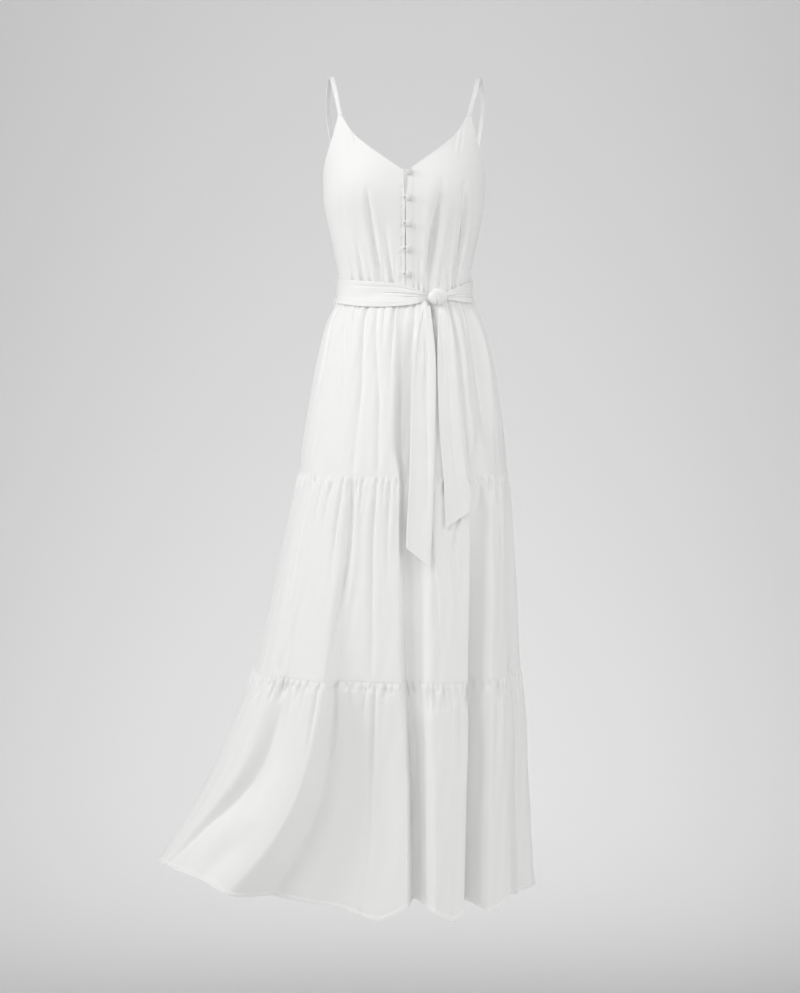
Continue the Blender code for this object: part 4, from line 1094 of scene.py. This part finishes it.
def make_buttons():
    """Covered buttons: a dome under taut cloth, pleated round the rim where the cloth is drawn under."""
    for index in range(BUTTON_COUNT):
        here, out, across, up = button_seat(index)
        number = index + 1
        dome = add_ball(f"covered_button_{number}", 48, 24)
        turn = 1.3 * index
        for vert in dome.data.vertices:
            x, y, z = vert.co
            around = math.atan2(y, x)
            rim = float(hump((z + 0.15) / 0.55))
            wide = BUTTON_R * (1 + 0.022 * rim * math.sin(14 * around + turn + math.sin(3 * around)))
            high = BUTTON_H * (z if z > 0 else BUTTON_UNDER * z)
            tilt = BUTTON_TILT * math.sin(around + turn)
            vert.co = Vector(here + across * x * wide + up * y * wide + out * (SHANK_H + high + tilt))
        for loop, spot in zip(dome.data.loops, dome.data.uv_layers[0].data):
            offset = np.array(dome.data.vertices[loop.vertex_index].co) - here
            spot.uv = (float(offset @ across), float(offset @ up))
        # The domes' cloth is painted greyer than the rest of the cloth, as painted shade
        finish_piece(dome, "button_cloth", f"button_{number}")
        turn_outwards(dome)
        shank = np.array([here + out * s for s in np.linspace(0.0001, SHANK_H, 6)])
        cord(f"button_thread_{number}", shank, 0.8 * SHANK_R, 12, False, "thread", None)


def make_button_loops():
    """Thin turned-cloth loops from the left front's edge round each button's shank."""
    half = SHANK_R + LOOP_R + LOOP_SLACK
    reach = BUTTON_X + LOOP_HOLD
    bend = [(half * math.cos(a), half * math.sin(a)) for a in (-1.5, -0.75, 0.0, 0.75, 1.5)]
    legs = [(-0.5 * reach, half), (-0.86 * reach, 0.9 * half), (-reach, 0.35 * half)]
    marks = np.array(bend + legs + [(u, -v) for u, v in reversed(legs)] + bend[:1])
    share = np.linspace(0, 1, len(marks))
    u, v = (curve(share, marks[:, k], np.linspace(0, 1, 49)[:-1])[:, None] for k in (0, 1))
    for index in range(BUTTON_COUNT):
        here, out, across, up = button_seat(index)
        points = here + u * across + v * up + out * (LOOP_R + LOOP_CLEAR)
        name = f"button_loop_{index + 1}"
        cord(name + "_cloth", points, LOOP_R, 12, True, "strap_cloth", name)


# --- Sash


def make_sash_stretch(name, start, end, cells, fade_in, fade_out):
    """A stretch of the sash round the waist. Its pleats fade over these degrees, and 0 is no fade."""
    angle = np.linspace(start, end, cells + 1)
    share = np.concatenate(([0, 0.012], np.linspace(0.03, 0.97, 44), [0.988, 1]))
    top, bottom = (column(SASH, edge, wrap(angle)) for edge in ("top", "bottom"))
    z = top[None, :] + (bottom - top)[None, :] * share[:, None]
    relief = np.zeros_like(z)
    for pleat in PLEATS:
        if pleat.stretch == name:
            t = np.clip((angle - pleat.a_start) / (pleat.a_end - pleat.a_start), 0, 1)
            line = pleat.s_start + (pleat.s_end - pleat.s_start) * t
            depth = pleat.depth * np.ones_like(angle)
            if fade_in:
                depth = depth * ease((angle - pleat.a_start) / fade_in)
            if fade_out:
                depth = depth * ease((pleat.a_end - angle) / fade_out)
            relief += depth[None, :] * pinch((share[:, None] - line[None, :]) / pleat.half)
    soft = 0.0004 * np.sin(share[:, None] * 9 + angle[None, :] * 0.11) * np.sin(angle[None, :] * 0.05)
    edge = BAND_EDGE * (1 - ease(np.minimum(share, 1 - share) / 0.035))
    lift = BAND_LIFT - relief + soft - edge[:, None]
    points, normals = over_waist(angle[None, :], z, lift)
    cloth_wall(name, points, normals, "sash_cloth")
    for word, row in (("upper", 4), ("lower", -5)):
        sew(f"{name}_stitches_{word}", points[row, 2:-2], normals[row, 2:-2])


def make_knot():
    """The sash wrapped over itself: a smooth wrap on the left and curved ridges to its right."""
    wide, deep, high = KNOT_HALF
    seat, normal = over_waist(angle_at(KNOT_X, KNOT_Z), KNOT_Z, KNOT_CLEAR + deep)
    knot = add_ball("sash_knot_cloth", 120, 80, (math.pi / 2, 0, 0))
    for loop, spot in zip(knot.data.loops, knot.data.uv_layers[0].data):
        co = knot.data.vertices[loop.vertex_index].co
        spot.uv = (co.x * wide + 0.3 * co.z * high, co.z * high)
    turn = Matrix.Rotation(math.atan2(normal[0], -normal[1]), 3, "Z")
    for vert in knot.data.vertices:
        x, y, z = vert.co
        bend = x + 0.22 * z * z + 0.34 * z
        ridge = abs(math.sin((bend + 0.24) * 8.6)) ** 0.55 - 0.60
        start = (bend + 0.30) / 0.12
        weight = float(ease(start)) * float(ease((1 - abs(z) * 0.9) / 0.25))
        swell = 1 + KNOT_RIDGE * ridge * weight - KNOT_GROOVE * float(hump(start))
        spot = turn @ Vector((x * wide * swell, y * deep * (1 + 1.6 * (swell - 1)), z * high * swell))
        vert.co = Vector(seat) + spot
    finish_piece(knot, "sash_cloth", "sash_knot")
    turn_outwards(knot)


def make_tail(name, rows, slant):
    """A sash tail: pleated where it leaves the knot, opening into a flat end with soft lengthwise folds."""
    share = np.concatenate((np.linspace(0, 0.25, 40), np.linspace(0.25, 0.995, 90)[1:], [1.0]))
    across = np.concatenate(([0, 0.012], np.linspace(0.035, 0.965, 40), [0.988, 1]))
    top, bottom = rows[0].z, rows[-1].z
    z = (top + (bottom - top) * share)[:, None] * np.ones((1, len(across)))
    left, right = (column(rows, edge, z) for edge in ("left", "right"))
    x = left + (right - left) * across[None, :]
    step_out = TIERS[1].puff * ease((SEAM_1_Z + TAIL_STEP - z) / TAIL_STEP)
    z = z + (across if slant < 0 else across - 1)[None, :] * slant * share[:, None] ** 6
    relief = np.zeros_like(z)
    for fold in TAIL_FOLDS:
        if fold.tail == name:
            line = fold.at_top + (fold.at_end - fold.at_top) * share
            fade = ease((fold.until - share) / TAIL_FADE)
            relief += fold.depth * fade[:, None] * hump((across[None, :] - line[:, None]) / fold.half)
    edge = BAND_EDGE * (1 - ease(np.minimum(across, 1 - across) / 0.03))[None, :]
    curl = TAIL_LOOSE + 0.0022 * hump((1 - across) / 0.45) + 0.0012 * hump(across / 0.35)
    loose = ease(share * 4)[:, None] * curl[None, :]
    points, _ = over_waist(angle_at(x, z), z, TAIL_CLEAR + step_out - relief - edge + loose)
    normals = grid_normals(points)
    cloth_wall(name, points, normals, "sash_cloth")
    for word, col in (("left", 4), ("right", -5)):
        sew(f"{name}_stitches_{word}", points[6:-3, col], normals[6:-3, col])


def make_thread_loop(name, angle):
    """A belt loop of chained thread at the side seam: two strands twisted round each other."""
    top = float(column(SASH, "top", angle)) + THREAD_LOOP_FOOT
    bottom = float(column(SASH, "bottom", angle)) - THREAD_LOOP_FOOT
    foot = THREAD_LOOP_FOOT / (top - bottom)
    share = np.linspace(0, 1, 161)
    bow = ease(np.minimum(share, 1 - share) / (0.9 * foot))
    path, normals = over_waist(angle, top + (bottom - top) * share, 0.0011 + 0.0033 * bow)
    side = np.cross(unit(np.gradient(path, axis=0)), normals)
    for word, half_turn, node_name in (("a", 0, name), ("b", 0.5, None)):
        turn = 2 * np.pi * (share * THREAD_TWISTS + half_turn)[:, None]
        points = path + (side * np.cos(turn) + normals * np.sin(turn)) * STRAND_OFF
        cord(f"{name}_strand_{word}", points, STRAND_R, 8, False, "thread", node_name)


# --- Studio


def make_sweep():
    """A pale floor of matt studio paper that curves up into a wall behind the dress."""
    profile = [(FLOOR_NEAR_Y, FLOOR_Z)]
    for a in np.linspace(0, 0.5 * math.pi, 25):
        profile.append((WALL_Y - SWEEP_R + SWEEP_R * math.sin(a), FLOOR_Z + SWEEP_R * (1 - math.cos(a))))
    profile.append((WALL_Y, WALL_TOP))
    verts = [(side * FLOOR_HALF, y, z) for y, z in profile for side in (-1, 1)]
    faces = [(k, k + 1, k + 3, k + 2) for k in range(0, len(verts) - 2, 2)]
    mesh = bpy.data.meshes.new("studio_sweep")
    mesh.from_pydata(verts, [], faces)
    mesh.shade_smooth()
    paper = {"Base Color": paint("EDEDED"), "Roughness": 0.95, "Specular IOR Level": 0.1}
    mesh.materials.append(matt_finish("studio_paper_matt", paper)[0])
    sweep = bpy.data.objects.new("studio_sweep", mesh)
    bpy.context.scene.collection.objects.link(sweep)


def add_light(name, place, aim, size, power):
    data = bpy.data.lights.new(name, "AREA")
    data.shape = "RECTANGLE"
    data.size, data.size_y = size
    data.energy = power
    lamp = bpy.data.objects.new(name, data)
    lamp.location = place
    lamp.visible_camera = False
    lamp.rotation_euler = (Vector(aim) - Vector(place)).to_track_quat("-Z", "Y").to_euler()
    bpy.context.scene.collection.objects.link(lamp)


def set_studio():
    make_sweep()
    world = bpy.data.worlds.new("soft_studio")
    bpy.context.scene.world = world
    world.use_nodes = True
    sky = world.node_tree.nodes["Background"].inputs
    sky["Color"].default_value = (1, 1, 1, 1)
    sky["Strength"].default_value = SKY_STRENGTH
    for light in LIGHTS:
        add_light(*light)
    camera_data = bpy.data.cameras.new("camera")
    camera_data.lens = LENS
    camera_data.sensor_width = 36.0
    camera_data.sensor_fit = "AUTO"
    camera_data.clip_end = 50
    camera = bpy.data.objects.new("camera", camera_data)
    camera.location = CAMERA
    camera.rotation_euler = (math.radians(90 - CAMERA_TILT), 0, 0)
    bpy.context.scene.collection.objects.link(camera)
    bpy.context.scene.camera = camera
    bpy.context.scene.view_settings.view_transform = "Standard"


# --- The dress

make_skirt()
make_bodice()
make_strap("strap_left", -1)
make_strap("strap_right", 1)
make_buttons()
make_button_loops()
make_sash_stretch("sash_left", -90, 20.0, 150, 12, 0)
make_sash_stretch("sash_right", 32.8, 90, 90, 0, 18)
make_sash_stretch("sash_back", 90, 270, 190, 30, 30)
make_knot()
make_tail("sash_tail_left", TAIL_LEFT, TAIL_LEFT_SLANT)
make_tail("sash_tail_right", TAIL_RIGHT, TAIL_RIGHT_SLANT)
make_thread_loop("thread_loop_left", -THREAD_LOOP_DEG)
make_thread_loop("thread_loop_right", THREAD_LOOP_DEG)

set_studio()
